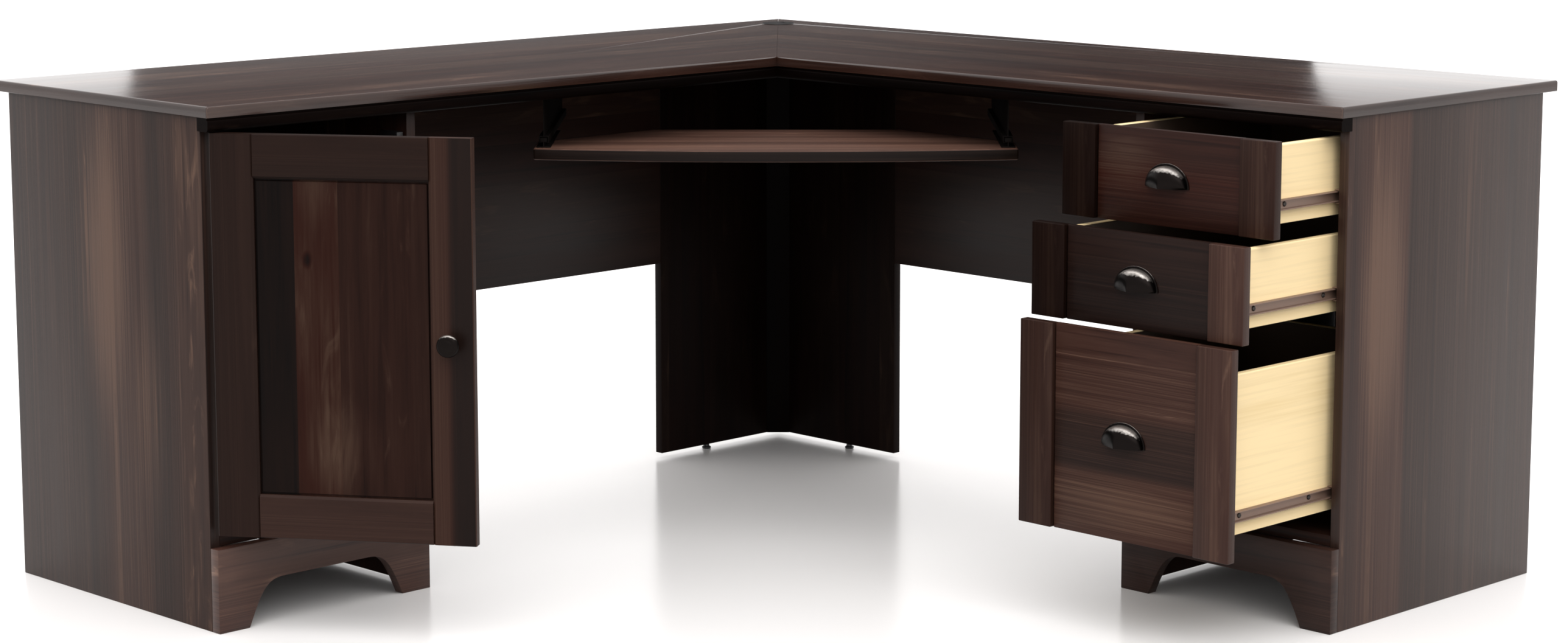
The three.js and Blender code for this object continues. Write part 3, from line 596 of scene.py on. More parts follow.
def shaded_cherry():
    """The cherry laminate darkened as painted shade, for boards in the knee space and inside the cabinets.
    """
    return cherry_laminate("rustic_cherry_dark", EVEN, 0.5, shade=0.3, gloss=0.08, roughness=0.45)


def dimmed_cherry():
    """The cherry laminate darkened as painted shade, for boards away from the light."""
    return cherry_laminate("rustic_cherry_plain", EVEN, 0.5, shade=0.4, gloss=0.15)


# ---- Operators: one for each group of like pieces ----


class CORNERDESK_OT_top(bpy.types.Operator):
    """Adds the two mitred halves of the desk top, with rounded front and end edges"""

    bl_idname = "corner_desk.top"
    bl_label = "Desk top"

    def execute(self, context):
        sizes = context.scene.corner_desk_sizes
        finish = cherry_laminate("rustic_cherry_top", (
            (0.0, 0.50, 0.15), (0.085, 0.62, 0.1), (0.17, 0.42, 0.3), (0.25, 0.56, 0.1),
            (0.34, 0.38, 0.35), (0.43, 0.52, 0.2)), 0.546, shade=0.55, gloss=0.42, roughness=0.13)
        for side, place in WINGS.items():
            node = f"top_{side}_panel"
            low, high = box_in(node, place)
            bm = copy_of(node, place)
            front, end, upper = high.y - 1e-4, high.x - 1e-4, high.z - 1e-4

            def outer(edge):
                a, b = (v.co for v in edge.verts)
                at_front = min(a.y, b.y) > front
                at_end = min(a.x, b.x) > end
                above = min(a.z, b.z) > upper
                return (at_front or at_end) and (above or (at_front and at_end))

            ease(bm, sizes.top_edge, 4, outer)
            ease(bm, THIN_EDGE, 1, lambda e: not any(v.co.z > upper - sizes.top_edge and (
                v.co.y > front - sizes.top_edge or v.co.x > end - sizes.top_edge) for v in e.verts), 60)
            piece(f"desk_top_{side}", bm, finish, place, replaces=(node,), grain=0, origin=(0, 0, low.z))
        return {"FINISHED"}


class CORNERDESK_OT_rails(bpy.types.Operator):
    """Adds the moulded front rails under the top, mitred at the inner corner"""

    bl_idname = "corner_desk.rails"
    bl_label = "Front rails"

    def execute(self, context):
        sizes = context.scene.corner_desk_sizes
        # Painted shade: the rails' laminate is darkened almost to black, as the shade under the top's edge.
        finish = cherry_laminate("rustic_cherry_rail", ((0.0, 0.36, 0.2),), 0.1, shade=0.05, gloss=0.02,
                                 roughness=0.45)
        for side, place in WINGS.items():
            node = f"front_rail_{side}"
            low, high = box_in(node, place)
            mitre = low.x - low.y
            inset, groove, bead = 0.0005, 0.0025, sizes.rail_round
            front, lower, upper = high.y - inset, low.z, high.z
            profile = [(low.y, upper), (front - groove, upper), (front - groove, upper - groove),
                       *arc((front - groove, upper - 2 * groove), groove, 90, 0, 4),
                       *arc((front - bead, lower + bead), bead, 0, -90, 6), (low.y, lower)]
            bm = swept(profile, lambda a, b: (a + mitre, a, b), lambda a, b: (high.x - inset, a, b))
            piece(f"front_rail_{side}_moulding", bm, finish, place, replaces=(node,), grain=0,
                  smooth=40)
        return {"FINISHED"}


class CORNERDESK_OT_pedestals(bpy.types.Operator):
    """Adds both pedestal cases: end and inner panels, decks, backs, valances and the cabinet shelf"""

    bl_idname = "corner_desk.pedestals"
    bl_label = "Pedestal cases"

    def execute(self, context):
        ends = {
            "left": cherry_laminate("rustic_cherry_left_end", (
                (0.0, 0.42, 0.0), (0.10, 0.46, 0.05), (0.20, 0.42, 0.0), (0.26, 0.60, 0.2),
                (0.33, 0.56, 0.2), (0.37, 0.38, 0.0), (0.43, 0.48, 0.1)), 0.49, shade=0.53, gloss=0.16,
                roughness=0.42, figures=((0.50, 0.235, 0.32, 0.08, 1.0), (0.30, 0.35, 0.22, 0.05, 0.5)),
                figure=1.25, soft=True),
            "right": cherry_laminate("rustic_cherry_right_end", (
                (0.0, 0.5, 0.05), (0.08, 0.46, 0.0), (0.19, 0.52, 0.0), (0.28, 0.42, 0.0),
                (0.335, 0.42, 0.0), (0.345, 0.62, 0.35), (0.42, 0.6, 0.3), (0.48, 0.46, 0.1)), 0.49,
                shade=0.6, gloss=0.24,
                roughness=0.4, figures=((0.46, 0.40, 0.28, 0.07, 0.9),), figure=1.0, soft=True),
        }
        valances = {
            "left": cherry_laminate("rustic_cherry_left_valance", (
                (0.0, 0.42, 0.25), (0.06, 0.5, 0.1)), 0.122, shade=1.05, gloss=0.3, soft=True),
            "right": cherry_laminate("rustic_cherry_right_valance", (
                (0.0, 0.42, 0.1), (0.06, 0.4, 0.1)), 0.122, shade=0.6, gloss=0.18, soft=True),
        }
        for side, place in WINGS.items():
            for part, finish, grain in (
                    ("end_panel", ends[side], 2), ("inner_panel", dimmed_cherry(), 2),
                    ("deck", shaded_cherry(), 0), ("valance", valances[side], 0)):
                board(f"{side}_{part}_board", f"{side}_{part}", finish, place, grain)
            node = f"{side}_back_panel"
            piece(f"{side}_back_board", ease(copy_of(node, place), THIN_EDGE, 1), hardboard(), place,
                  replaces=(node,))
        board("cabinet_shelf_board", "cabinet_shelf", shaded_cherry(), LEFT_WING)
        return {"FINISHED"}


class CORNERDESK_OT_back_wall(bpy.types.Operator):
    """Adds the leg panels, their post and glides, and the modesty panels"""

    bl_idname = "corner_desk.back_wall"
    bl_label = "Leg and modesty panels"

    def execute(self, context):
        # Painted shade: the leg panels, and their post in the corner darker still, are the laminate darkened
        # as the shade at the back of the knee space.
        leg = cherry_laminate("rustic_cherry_leg", EVEN, 0.5, shade=0.12, gloss=0.05, roughness=0.5)
        post = cherry_laminate("rustic_cherry_post", EVEN, 0.5, shade=0.04, gloss=0.02, roughness=0.5)
        modesty = cherry_laminate("rustic_cherry_modesty", EVEN, 0.5, shade=0.4, gloss=0.25,
                                  roughness=0.4)
        for side, place in WINGS.items():
            board(f"corner_leg_{side}_board", f"corner_leg_{side}", leg, place, 2)
            board(f"{side}_modesty_board", f"{side}_modesty_panel", modesty, place)
            low, high = box_in(f"leg_glide_{side}", place)
            radius, top = (high.x - low.x) / 2, high.z
            pad = turned([(0, 0), (radius * 0.82, 0), (radius, 0.0012), (radius, 0.0034),
                          (radius * 0.7, 0.0046), (radius * 0.6, top), (0, top)], 40)
            bmesh.ops.translate(pad, vec=((low.x + high.x) / 2, (low.y + high.y) / 2, 0), verts=pad.verts)
            piece(f"leg_glide_{side}_pad", pad, black_plastic(), place, replaces=(f"leg_glide_{side}",))
        board("corner_leg_post_block", "corner_leg_post", post, grain=2)
        return {"FINISHED"}


class CORNERDESK_OT_door(bpy.types.Operator):
    """Adds the framed cabinet door: stiles, rails and the panel in their groove"""

    bl_idname = "corner_desk.door"
    bl_label = "Door"

    def execute(self, context):
        sizes = context.scene.corner_desk_sizes
        low, high = box_in("door_frame", DOOR)
        stile, slope = sizes.door_stile, sizes.door_slope
        panel_low, panel_high = box_in("door_panel", DOOR)
        outer = cherry_laminate("rustic_cherry_door_frame", ((0.0, 0.46, 0.05), (0.04, 0.5, 0.1)), 0.062,
                                shade=0.28, gloss=0.07, figure=0.6, soft=True)
        # Painted light: the bottom rail is a lighter copy of the frame's laminate, standing for light thrown
        # up from the floor.
        lower = cherry_laminate("rustic_cherry_bottom_rail", (
            (0.0, 0.52, 0.15), (0.04, 0.5, 0.15)), 0.062, shade=0.48, gloss=0.1, figure=0.6, soft=True)
        free = cherry_laminate("rustic_cherry_free_stile", (
            (0.0, 0.64, 0.3), (0.022, 0.6, 0.3), (0.036, 0.2, 0.0)), 0.062, shade=0.44, gloss=0.08,
            figure=0.6, soft=True)
        panel = cherry_laminate("rustic_cherry_door_panel", (
            (0.0, 0.2, 0.0), (0.056, 0.50, 0.6), (0.12, 0.46, 0.3), (0.18, 0.36, 0.3),
            (0.225, 0.40, 0.25)), 0.268, shade=0.32, gloss=0.05, knots=((0.335, 0.075, 0.004),),
            figures=((0.47, 0.085, 0.11, 0.035, 0.5), (0.06, 0.12, 0.1, 0.07, 0.7),
                     (0.2, 0.1, 0.2, 0.06, 0.3)))

        def bar(span, across, turn):
            """A stile or rail whose inner edge slopes in to the groove. span runs along it and across
            is its width, with the inner edge last."""
            front_edge, back_edge, seat = 0.0012, 0.0005, 0.0003
            depth = high.y - low.y
            a0, a1 = across
            sign = 1 if a1 > a0 else -1
            profile = [(a0 + sign * front_edge, 0.0), (a1 - sign * slope, 0.0), (a1, slope * 0.9),
                       (a1, panel_low.y - seat), (a1, depth), (a0 + sign * back_edge, depth),
                       (a0, depth - back_edge), (a0, front_edge)]
            return swept(profile, lambda a, b: turn(span[0], low.y + b, a),
                         lambda a, b: turn(span[1], low.y + b, a))

        upright = lambda s, b, a: (a, b, s)
        level = lambda s, b, a: (s, b, a)
        between_stiles = (low.x + stile, high.x - stile)
        pieces = [
            ("door_hinge_stile", (low.z, high.z), (low.x, low.x + stile), upright, outer, 2),
            ("door_free_stile", (low.z, high.z), (high.x, high.x - stile), upright, free, 2),
            ("door_bottom_rail", between_stiles, (low.z, low.z + stile), level, lower, 0),
            ("door_top_rail", between_stiles, (high.z, high.z - stile), level, outer, 0),
        ]
        for name, span, across, turn, finish, grain in pieces:
            piece(name, bar(span, across, turn), finish, DOOR, "door", grain=grain,
                  replaces=("door_frame",) if name == "door_hinge_stile" else (), smooth=20)
        tongue = 0.006
        bm = fielded(Vector((low.x + stile - tongue, panel_low.y, low.z + stile - tongue)),
                     Vector((high.x - stile + tongue, panel_high.y, high.z - stile + tongue)),
                     tongue + sizes.groove_width, sizes.groove_depth)
        ease(bm, 0.0005, 1)
        piece("door_centre_panel", bm, panel, DOOR, "door", replaces=("door_panel",), grain=2,
              origin=(low.x + stile, panel_low.y, low.z + stile))
        return {"FINISHED"}


class CORNERDESK_OT_drawers(bpy.types.Operator):
    """Adds the three drawers: fronts with raised end stiles, foil-wrapped boxes and their bottoms"""

    bl_idname = "corner_desk.drawers"
    bl_label = "Drawers"

    def execute(self, context):
        sizes = context.scene.corner_desk_sizes
        centres = {
            "top": (((0.0, 0.40, 0.5), (0.07, 0.46, 0.9), (0.10, 0.4, 0.5)), 0.38,
                    ((0.05, 0.09, 0.09, 0.06, 0.6),)),
            "middle": (((0.0, 0.40, 0.1), (0.05, 0.36, 0.1), (0.10, 0.42, 0.2)), 0.26, ()),
            "file": (((0.0, 0.60, 0.3), (0.085, 0.62, 0.25), (0.10, 0.28, 0.0), (0.165, 0.34, 0.0),
                      (0.185, 0.56, 0.2), (0.26, 0.5, 0.2)), 0.72, ((0.14, 0.05, 0.2, 0.05, 0.4),)),
        }
        # Shades of each drawer's inner and outer stile: copies of one laminate at different shades, the
        # inner stiles darkened as painted shade.
        stiles = {"top": (0.12, 0.42), "middle": (0.14, 0.75), "file": (0.44, 0.70)}
        for name, (planks, shade, figures) in centres.items():
            node = f"{name}_drawer_front"
            low, high = box_in(node, RIGHT_WING)
            stile, recess = sizes.drawer_stile, sizes.drawer_recess
            finish = cherry_laminate(f"rustic_cherry_{name}_drawer", planks, 0.3, shade=shade, gloss=0.1,
                                     figures=figures, soft=True)
            width, depth = sizes.groove_width, sizes.groove_depth
            left, right, face = low.x + stile, high.x - stile, high.y - recess
            bed = face - depth
            outline = [(left, low.y), (right, low.y), (right, bed), (right - width, bed),
                       (right - width, face), (left + width, face), (left + width, bed), (left, bed)]
            centre = ease(swept(outline, lambda a, b: (a, b, low.z), lambda a, b: (a, b, high.z)), 0.0006)
            body = f"{name}_drawer"
            piece(f"{name}_drawer_centre", centre, finish, RIGHT_WING, body, replaces=(node,), grain=0)
            for which, x0, x1, deep in (("inner", low.x, low.x + stile, stiles[name][0]),
                                        ("outer", high.x - stile, high.x, stiles[name][1])):
                # Painted shade: each stile's laminate is darkened by its shade, and its gloss with it.
                shaded_stile = cherry_laminate(f"rustic_cherry_{name}_{which}_stile", (
                    (0.0, 0.5, 0.15), (0.03, 0.54, 0.25)), 0.06, shade=deep, gloss=0.2 * deep, soft=True)
                bm = ease(block((x0, low.y, low.z), (x1, high.y, high.z)), sizes.stile_edge, 3)
                piece(f"{name}_drawer_stile_{which}", bm, shaded_stile, RIGHT_WING, body, grain=2)
            box_low, box_high = box_in(f"{name}_drawer_box", RIGHT_WING)
            rim = box_high.z - 1e-4
            box = ease(copy_of(f"{name}_drawer_box", RIGHT_WING), sizes.box_rim, 3,
                       lambda e: min(v.co.z for v in e.verts) > rim)

            def inward(face):
                """Whether a face of the box looks into the drawer."""
                skin = 0.003
                within = all(box_low[i] + skin < face.center[i] < box_high[i] - skin for i in (0, 1))
                return within and abs(face.normal.z) < 0.5

            # The faces that look into the drawer, and the bottom's upper face below, are marked for the
            # painted shade inside the box.
            piece(f"{name}_drawer_sides", box, maple_foil(), RIGHT_WING, body,
                  replaces=(f"{name}_drawer_box",), grain=1,
                  marks={"lining": inward})
            bottom = ease(copy_of(f"{name}_drawer_bottom", RIGHT_WING), THIN_EDGE, 1)
            piece(f"{name}_drawer_floor", bottom, maple_foil(), RIGHT_WING, body,
                  replaces=(f"{name}_drawer_bottom",), grain=1,
                  marks={"lining": lambda face: face.normal.z > 0.5})
        return {"FINISHED"}


class CORNERDESK_OT_runners(bpy.types.Operator):
    """Adds the drawers' rolled steel runners and the keyboard shelf's hangers, with eased edges"""

    bl_idname = "corner_desk.runners"
    bl_label = "Runners and hangers"

    def execute(self, context):
        for name in ("top", "middle", "file"):
            for which in ("inner", "outer"):
                for kind, body in (("cabinet", "desk"), ("drawer", f"{name}_drawer")):
                    node = f"{name}_{kind}_runner_{which}"
                    bm = ease(copy_of(node, RIGHT_WING), THIN_EDGE, 2)
                    piece(f"{node}_channel", bm, brown_enamel(), RIGHT_WING, body, replaces=(node,))
        for side in ("left", "right"):
            for kind, body in (("hanger", "desk"), ("runner", "keyboard_tray")):
                node = f"keyboard_{kind}_{side}"
                bm = ease(copy_of(node, SHELF), FINE_EDGE, 2)
                piece(f"{node}_section", bm, black_enamel(), SHELF, body, replaces=(node,))
        return {"FINISHED"}


class CORNERDESK_OT_handles(bpy.types.Operator):
    """Adds the three cast cup pulls and the turned door knob"""

    bl_idname = "corner_desk.handles"
    bl_label = "Pulls and knob"

    def execute(self, context):
        sizes = context.scene.corner_desk_sizes
        for name in ("top", "middle", "file"):
            node = f"{name}_drawer_pull"
            low, high = box_in(node, RIGHT_WING)
            piece(f"{name}_cup_pull", cup_pull(low, high, sizes.pull_wall, sizes.pull_flange),
                  antique_pewter(), RIGHT_WING, f"{name}_drawer", replaces=(node,),
                  smooth=45)
        low, high = box_in("door_knob", DOOR)
        radius, reach = (high.x - low.x) / 2, high.y - low.y
        outline = [(0, 0), (0.56, 0), (0.56, 0.06), (0.5, 0.1), (0.42, 0.2), (0.38, 0.33), (0.40, 0.46),
                   (0.52, 0.56), (0.80, 0.62), (0.95, 0.67), (1.0, 0.75), (0.97, 0.83), (0.86, 0.91),
                   (0.66, 0.955), (0.6, 0.94), (0.52, 0.965), (0.3, 0.99), (0, 1.0)]
        knob = turned([(r * radius, h * reach) for r, h in outline], 56)
        knob.transform(Matrix.Translation(((low.x + high.x) / 2, high.y, (low.z + high.z) / 2))
                       @ Matrix.Rotation(math.pi / 2, 4, "X"))
        piece("door_knob_turning", knob, antique_pewter(), DOOR, "door", replaces=("door_knob",),
              smooth=50)
        return {"FINISHED"}


def cup_pull(low, high, wall, flange):
    """A cast cup pull between two corners of the wing's frame: a half dome that opens downwards, with
    a rolled lower lip and a flat flange against the drawer front."""
    bm = bmesh.new()
    middle = (low.x + high.x) / 2
    half = (high.x - low.x) / 2 - flange
    reach = high.y - low.y
    rise = high.z - low.z - flange
    rings, steps = 14, 40

    def shell(shrink, back):
        """Grid of the dome's surface from the flange round to the lip."""
        grid = []
        for i in range(rings + 1):
            lift = math.pi / 2 * i / rings
            row = []
            for j in range(steps + 1):
                turn = math.pi * j / steps
                flat = math.cos(turn)
                up = math.sin(turn)
                spread = math.cos(lift) ** 0.8
                out = math.sin(lift) ** 0.75
                x = middle + (half - shrink) * flat * (1 - (1 - spread) * up)
                z = low.z + (rise - shrink) * up * spread
                y = low.y + back + (reach - back - shrink) * out * (up ** 0.55)
                row.append(bm.verts.new((x, y, z)))
            grid.append(row)
        return grid

    outside = shell(0.0, 0.0012)
    inside = shell(wall, 0.0012)
    for grid, flip in ((outside, False), (inside, True)):
        for i in range(rings):
            for j in range(steps):
                quad = (grid[i][j], grid[i][j + 1], grid[i + 1][j + 1], grid[i + 1][j])
                bm.faces.new(quad[::-1] if flip else quad)
    for j in range(steps):
        bm.faces.new((outside[0][j + 1], outside[0][j], inside[0][j], inside[0][j + 1]))
    last_out, last_in = outside[-1], inside[-1]
    for j in range(steps):
        bm.faces.new((last_out[j], last_out[j + 1], last_in[j + 1], last_in[j]))
    for i in range(rings):
        bm.faces.new((outside[i][0], outside[i + 1][0], inside[i + 1][0], inside[i][0]))
        bm.faces.new((outside[i + 1][-1], outside[i][-1], inside[i][-1], inside[i + 1][-1]))
    bmesh.ops.remove_doubles(bm, verts=bm.verts, dist=1e-5)
    bmesh.ops.recalc_face_normals(bm, faces=bm.faces)
    # The flange: a flat half ring whose outer edge is eased.
    outer = [(middle + (half + flange) * math.cos(t), low.z + (rise + flange) * math.sin(t))
             for t in (math.pi * j / steps for j in range(steps + 1))]
    inner = [(middle + (half - wall) * math.cos(t), low.z + (rise - wall) * math.sin(t))
             for t in (math.pi * j / steps for j in range(steps + 1))]
    ring = bmesh.new()
    loops = []
    for y in (low.y, low.y + 0.0016):
        loops.append([[ring.verts.new((x, y, z)) for x, z in edge] for edge in (outer, inner)])
    (out_a, in_a), (out_b, in_b) = loops
    for j in range(steps):
        ring.faces.new((out_a[j], out_a[j + 1], in_a[j + 1], in_a[j]))
        ring.faces.new((out_b[j + 1], out_b[j], in_b[j], in_b[j + 1]))
        ring.faces.new((out_a[j + 1], out_a[j], out_b[j], out_b[j + 1]))
        ring.faces.new((in_a[j], in_a[j + 1], in_b[j + 1], in_b[j]))
    for j in (0, steps):
        ring.faces.new((out_a[j], in_a[j], in_b[j], out_b[j]))
    bmesh.ops.recalc_face_normals(ring, faces=ring.faces)
    ease(ring, THIN_EDGE, 2, None, 50)
    return joined(bm, ring)


class CORNERDESK_OT_hinges(bpy.types.Operator):
    """Adds the two concealed hinges: pressed cups in the door and arms on the end panel"""

    bl_idname = "corner_desk.hinges"
    bl_label = "Hinges"

    def execute(self, context):
        for place in ("lower", "upper"):
            node = f"hinge_cup_{place}"
            bm = ease(copy_of(node, DOOR), FINE_EDGE, 1, None, 40)
            piece(f"{node}_pressing", bm, nickel_plate(), DOOR, "door", replaces=(node,),
                  smooth=35)
            node = f"hinge_arm_{place}"
            bm = ease(copy_of(node, LEFT_WING), 0.0012, 3)
            piece(f"{node}_pressing", bm, nickel_plate(), LEFT_WING, replaces=(node,))
        return {"FINISHED"}


def pan_head(diameter):
    """A pan-head screw's head standing on z = 0, with a turned recess for the driver."""
    r = diameter / 2
    return turned([(0, -0.0004), (r * 0.9, -0.0004), (r, 0.0), (r * 0.97, r * 0.22), (r * 0.8, r * 0.42),
                   (r * 0.5, r * 0.52), (r * 0.42, r * 0.5), (r * 0.16, r * 0.2), (0, r * 0.16)], 20)


def set_on(bm, point, way):
    """Moves a mesh made on z = 0 to a point, with its z along way."""
    turn = Vector((0, 0, 1)).rotation_difference(Vector(way)).to_matrix().to_4x4()
    bm.transform(Matrix.Translation(point) @ turn)
    return bm


class CORNERDESK_OT_fasteners(bpy.types.Operator):
    """Adds the runners' screws, the cabinet's shelf pins and the door's magnetic catch"""

    bl_idname = "corner_desk.fasteners"
    bl_label = "Screws, pins and catch"

    def execute(self, context):
        sizes = context.scene.corner_desk_sizes
        metal = 0.0014      # of the rolled runners
        for name in ("top", "middle", "file"):
            for which, way in (("inner", -1), ("outer", 1)):
                low, high = box_in(f"{name}_drawer_runner_{which}", RIGHT_WING)
                web = (low.x if way > 0 else high.x) + way * metal
                heads = [set_on(pan_head(sizes.screw_head), (web, low.y + (high.y - low.y) * share,
                                                             (low.z + high.z) / 2), (way, 0, 0))
                         for share in (0.1, 0.5, 0.9)]
                piece(f"{name}_runner_screws_{which}", joined(*heads), blackened_steel(), RIGHT_WING,
                      f"{name}_drawer", smooth=50)
        low, high = box_in("cabinet_shelf", LEFT_WING)
        pins = []
        for way, side in ((-1, low.x), (1, high.x)):
            for y in (low.y + 0.05, high.y - 0.05):
                r = sizes.shelf_pin / 2
                pin = turned([(0, -0.0006), (r, -0.0006), (r, 0.007), (r * 0.7, 0.0078), (0, 0.008)], 20)
                pins.append(set_on(pin, (side + way * 0.0006, y, low.z - r - 0.0003), (-way, 0, 0)))
        piece("cabinet_shelf_pins", joined(*pins), nickel_plate(), LEFT_WING,
              smooth=50)
        # The catch is on the inner panel, near the door's free edge; its plate is on the door.
        inner = box_in("left_inner_panel", LEFT_WING)[1]
        rail = box_in("front_rail_left", LEFT_WING)[0]
        reach, drop, width, gap, below = 0.045, 0.012, 0.012, 0.003, 0.030
        catch = ease(block((inner.x + gap, inner.y - reach, rail.z - below - drop),
                           (inner.x + gap + width, inner.y - 0.004, rail.z - below)), 0.0015, 3)
        piece("door_catch_magnet", catch, black_plastic(), LEFT_WING)
        low, high = box_in("door_frame", DOOR)
        plate = ease(block((high.x - 0.032, high.y - 0.0004, high.z - 0.036),
                           (high.x - 0.014, high.y + 0.0012, high.z - 0.018)), 0.0006, 2)
        piece("door_catch_plate", plate, nickel_plate(), DOOR, "door")
        return {"FINISHED"}


class CORNERDESK_OT_keyboard_shelf(bpy.types.Operator):
    """Adds the bowed keyboard shelf with its rounded edge"""

    bl_idname = "corner_desk.keyboard_shelf"
    bl_label = "Keyboard shelf"

    def execute(self, context):
        # Painted shade: the shelf's upright edge faces are darkened to 0.09 of its top.
        finish = cherry_laminate("rustic_cherry_shelf", (
            (0.0, 0.5, 0.0), (0.06, 0.62, 0.0), (0.11, 0.34, 0.0), (0.115, 0.54, 0.0), (0.2, 0.46, 0.0)),
            0.29, shade=1.5, gloss=0.1, roughness=0.4, soft=True, edges=0.09)
        bm = ease(copy_of("keyboard_shelf", SHELF), context.scene.corner_desk_sizes.shelf_edge, 4, None, 30)
        piece("keyboard_shelf_board", bm, finish, SHELF, "keyboard_tray", replaces=("keyboard_shelf",),
              grain=0, marks={"edge": lambda face: abs(face.normal.z) < 0.3})
        return {"FINISHED"}


class CORNERDESK_OT_grommet(bpy.types.Operator):
    """Adds the cable grommet: a moulded sleeve and a turning cap with a slot for cables"""

    bl_idname = "corner_desk.grommet"
    bl_label = "Cable grommet"

    def execute(self, context):
        for node, body in (("grommet_sleeve", "desk"), ("grommet_cap", "grommet_cap")):
            bm = ease(copy_of(node, Matrix()), FINE_EDGE, 1, None, 40)
            piece(f"{node}_moulding", bm, black_plastic(), body=body, replaces=(node,),
                  smooth=35)
        return {"FINISHED"}


class CORNERDESK_OT_stage(bpy.types.Operator):
    """Adds the pale polished floor, the backdrop round it, the soft studio light and the camera"""

    bl_idname = "corner_desk.stage"
    bl_label = "Stage, light and camera"

    def execute(self, context):
        colours = context.scene.corner_desk_colours
        scene = context.scene
        radius, height, sink = 30.0, 30.0, 0.1
        bm = bmesh.new()
        bmesh.ops.create_circle(bm, cap_ends=True, radius=radius, segments=96)
        floor = stage_piece("floor", bm, polished_floor(colours.floor))
        floor.visible_diffuse = False
        bm = bmesh.new()
        bmesh.ops.create_cone(bm, cap_ends=False, radius1=radius, radius2=radius, depth=height,
                              segments=96)
        bmesh.ops.translate(bm, vec=(0, 0, height / 2 - sink), verts=bm.verts)
        wall = stage_piece("backdrop", bm, plain_backdrop(colours.backdrop))
        for ray in ("visible_diffuse", "visible_glossy", "visible_transmission", "visible_shadow"):
            setattr(wall, ray, False)

        # A grey flag behind the desk keeps the top's reflection dark between its two pale ends.
        facing = math.radians(45.1)
        behind = Matrix.Translation((-1.887, 1.888, 0)) @ Matrix.Rotation(facing, 4, "Z")
        left, right, bottom, top, thick = -1.50, 1.23, 0.79, 2.6, 0.01
        bm = block((left, 0, bottom), (right, thick, top))
        bm.transform(behind)
        flag = stage_piece("flag", bm, grey_felt(behind.inverted()))
        for ray in ("visible_camera", "visible_diffuse", "visible_transmission", "visible_shadow"):
            setattr(flag, ray, False)

        soft_sky(scene)
        key = bpy.data.lights.new("key", "SUN")
        key.energy = 1.7
        key.angle = math.radians(60)
        lamp = bpy.data.objects.new("key", key)
        lamp.rotation_euler = (math.radians(38), 0, math.radians(52))
        scene.collection.objects.link(lamp)

        data = bpy.data.cameras.new("camera")
        data.sensor_width = 36
        data.lens = 75.4
        data.shift_y = -0.05
        data.clip_end = 200
        camera = bpy.data.objects.new("camera", data)
        camera.location = (3.4771, -3.4473, 1.2285)
        camera.rotation_euler = (math.radians(81.6), 0, facing)
        scene.collection.objects.link(camera)
        scene.camera = camera
        scene.view_settings.view_transform = "Standard"
        return {"FINISHED"}


def stage_piece(name, bm, material):
    """An object of the surroundings, which is no part of the desk."""
    mesh = bpy.data.meshes.new(name)
    bm.to_mesh(mesh)
    bm.free()
    mesh.materials.append(material)
    made = bpy.data.objects.new(name, mesh)
    bpy.context.scene.collection.objects.link(made)
    return made


def soft_sky(scene):
    """A studio's tented ceiling: even white light from above the horizon, and little from below."""
    world = bpy.data.worlds.new("studio")
    scene.world = world
    world.use_nodes = True
    tree = world.node_tree
    sky = tree.nodes["Background"]
    sky.inputs["Color"].default_value = (1.0, 0.985, 0.98, 1)
    way = add_node(tree, "SeparateXYZ", inputs={0: add_node(tree, "TexCoord").outputs["Generated"]})
    level = add_node(tree, "MapRange", {"interpolation_type": "SMOOTHSTEP"}, {
        "Value": way.outputs[2], "From Min": -0.06, "From Max": 0.02, "To Min": 0.1, "To Max": 1.5})
    tree.links.new(level.outputs[0], sky.inputs["Strength"])


def polished_floor(base):
    """White acrylic sheet with a polished face that mirrors softly where it is seen at a low angle."""
    material, tree, shader = new_material("white_acrylic_floor")
    sheet = add_node(tree, "BsdfDiffuse", inputs={"Color": (*base, 1)})
    mirror = add_node(tree, "BsdfGlossy", inputs={"Color": (1, 1, 1, 1), "Roughness": 0.2})
    gloss = add_node(tree, "Fresnel", inputs={"IOR": 1.6})
    polished = add_node(tree, "MixShader", inputs={
        0: gloss.outputs[0], 1: sheet.outputs[0], 2: mirror.outputs[0]})
    show(tree, shader, polished)
    return material


def plain_backdrop(base):
    """White paper, evenly lit."""
    material, tree, shader = new_material("white_paper")
    show(tree, shader, add_node(tree, "Emission", inputs={"Color": (*base, 1), "Strength": 1.0}))
    return material


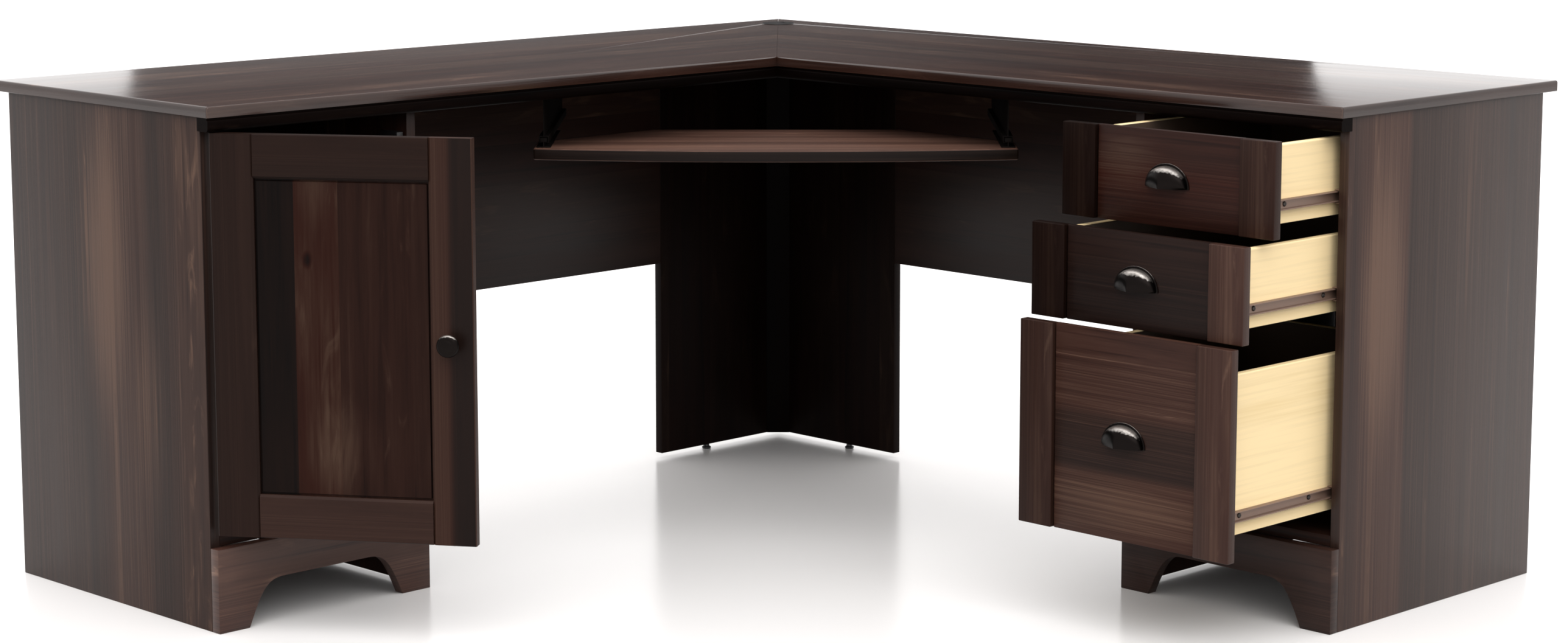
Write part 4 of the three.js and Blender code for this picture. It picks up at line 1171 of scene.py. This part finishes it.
def grey_felt(inverse):
    """Grey wool felt on a studio flag, charcoal at its right end."""
    material, tree, shader = new_material("grey_felt")
    place = add_node(tree, "TexCoord").outputs["Object"]
    nap = noise(tree, place, 300.0, 2.0)
    along = add_node(tree, "VectorMath", {"operation": "DOT_PRODUCT"}, {0: place, 1: inverse[0][:3]})
    drift = add_node(tree, "MapRange", inputs={
        "Value": along.outputs[1], "From Min": -inverse[0][3] - 0.6, "From Max": -inverse[0][3] + 0.7,
        "To Min": 0.42, "To Max": 0.0}).outputs[0]
    tint = add_node(tree, "ValToRGB", inputs={0: maths(tree, "MULTIPLY_ADD", nap, 0.06, drift)}, stops=[
        (0.0, (0.025, 0.022, 0.022)), (0.5, (0.17, 0.16, 0.16))])
    connect(tree, shader, {"Base Color": tint.outputs[0], "Roughness": 0.95})
    return material


# ---- Panel, registration and the run ----

STEPS = ("top", "rails", "pedestals", "back_wall", "door", "drawers", "runners", "handles", "hinges",
         "fasteners", "keyboard_shelf", "grommet", "stage")


class CORNERDESK_PT_panel(bpy.types.Panel):
    """Lists the desk's pieces, sizes and colours"""

    bl_idname = "CORNERDESK_PT_panel"
    bl_label = "Corner Desk"
    bl_space_type = "VIEW_3D"
    bl_region_type = "UI"
    bl_category = "Corner Desk"

    def draw(self, context):
        layout = self.layout
        for step in STEPS:
            layout.operator(f"corner_desk.{step}")
        for group in (context.scene.corner_desk_sizes, context.scene.corner_desk_colours):
            column = layout.column()
            for name in group.__annotations__:
                column.prop(group, name)


CLASSES = (
    CornerDeskSizes,
    CornerDeskColours,
    CORNERDESK_OT_top,
    CORNERDESK_OT_rails,
    CORNERDESK_OT_pedestals,
    CORNERDESK_OT_back_wall,
    CORNERDESK_OT_door,
    CORNERDESK_OT_drawers,
    CORNERDESK_OT_runners,
    CORNERDESK_OT_handles,
    CORNERDESK_OT_hinges,
    CORNERDESK_OT_fasteners,
    CORNERDESK_OT_keyboard_shelf,
    CORNERDESK_OT_grommet,
    CORNERDESK_OT_stage,
    CORNERDESK_PT_panel,
)


def register():
    for kind in CLASSES:
        bpy.utils.register_class(kind)
    bpy.types.Scene.corner_desk_sizes = PointerProperty(type=CornerDeskSizes)
    bpy.types.Scene.corner_desk_colours = PointerProperty(type=CornerDeskColours)


def unregister():
    del bpy.types.Scene.corner_desk_colours
    del bpy.types.Scene.corner_desk_sizes
    for kind in reversed(CLASSES):
        bpy.utils.unregister_class(kind)


def main():
    register()
    for step in STEPS:
        getattr(bpy.ops.corner_desk, step)()
    bpy.context.view_layer.update()


if __name__ == "__main__":
    main()
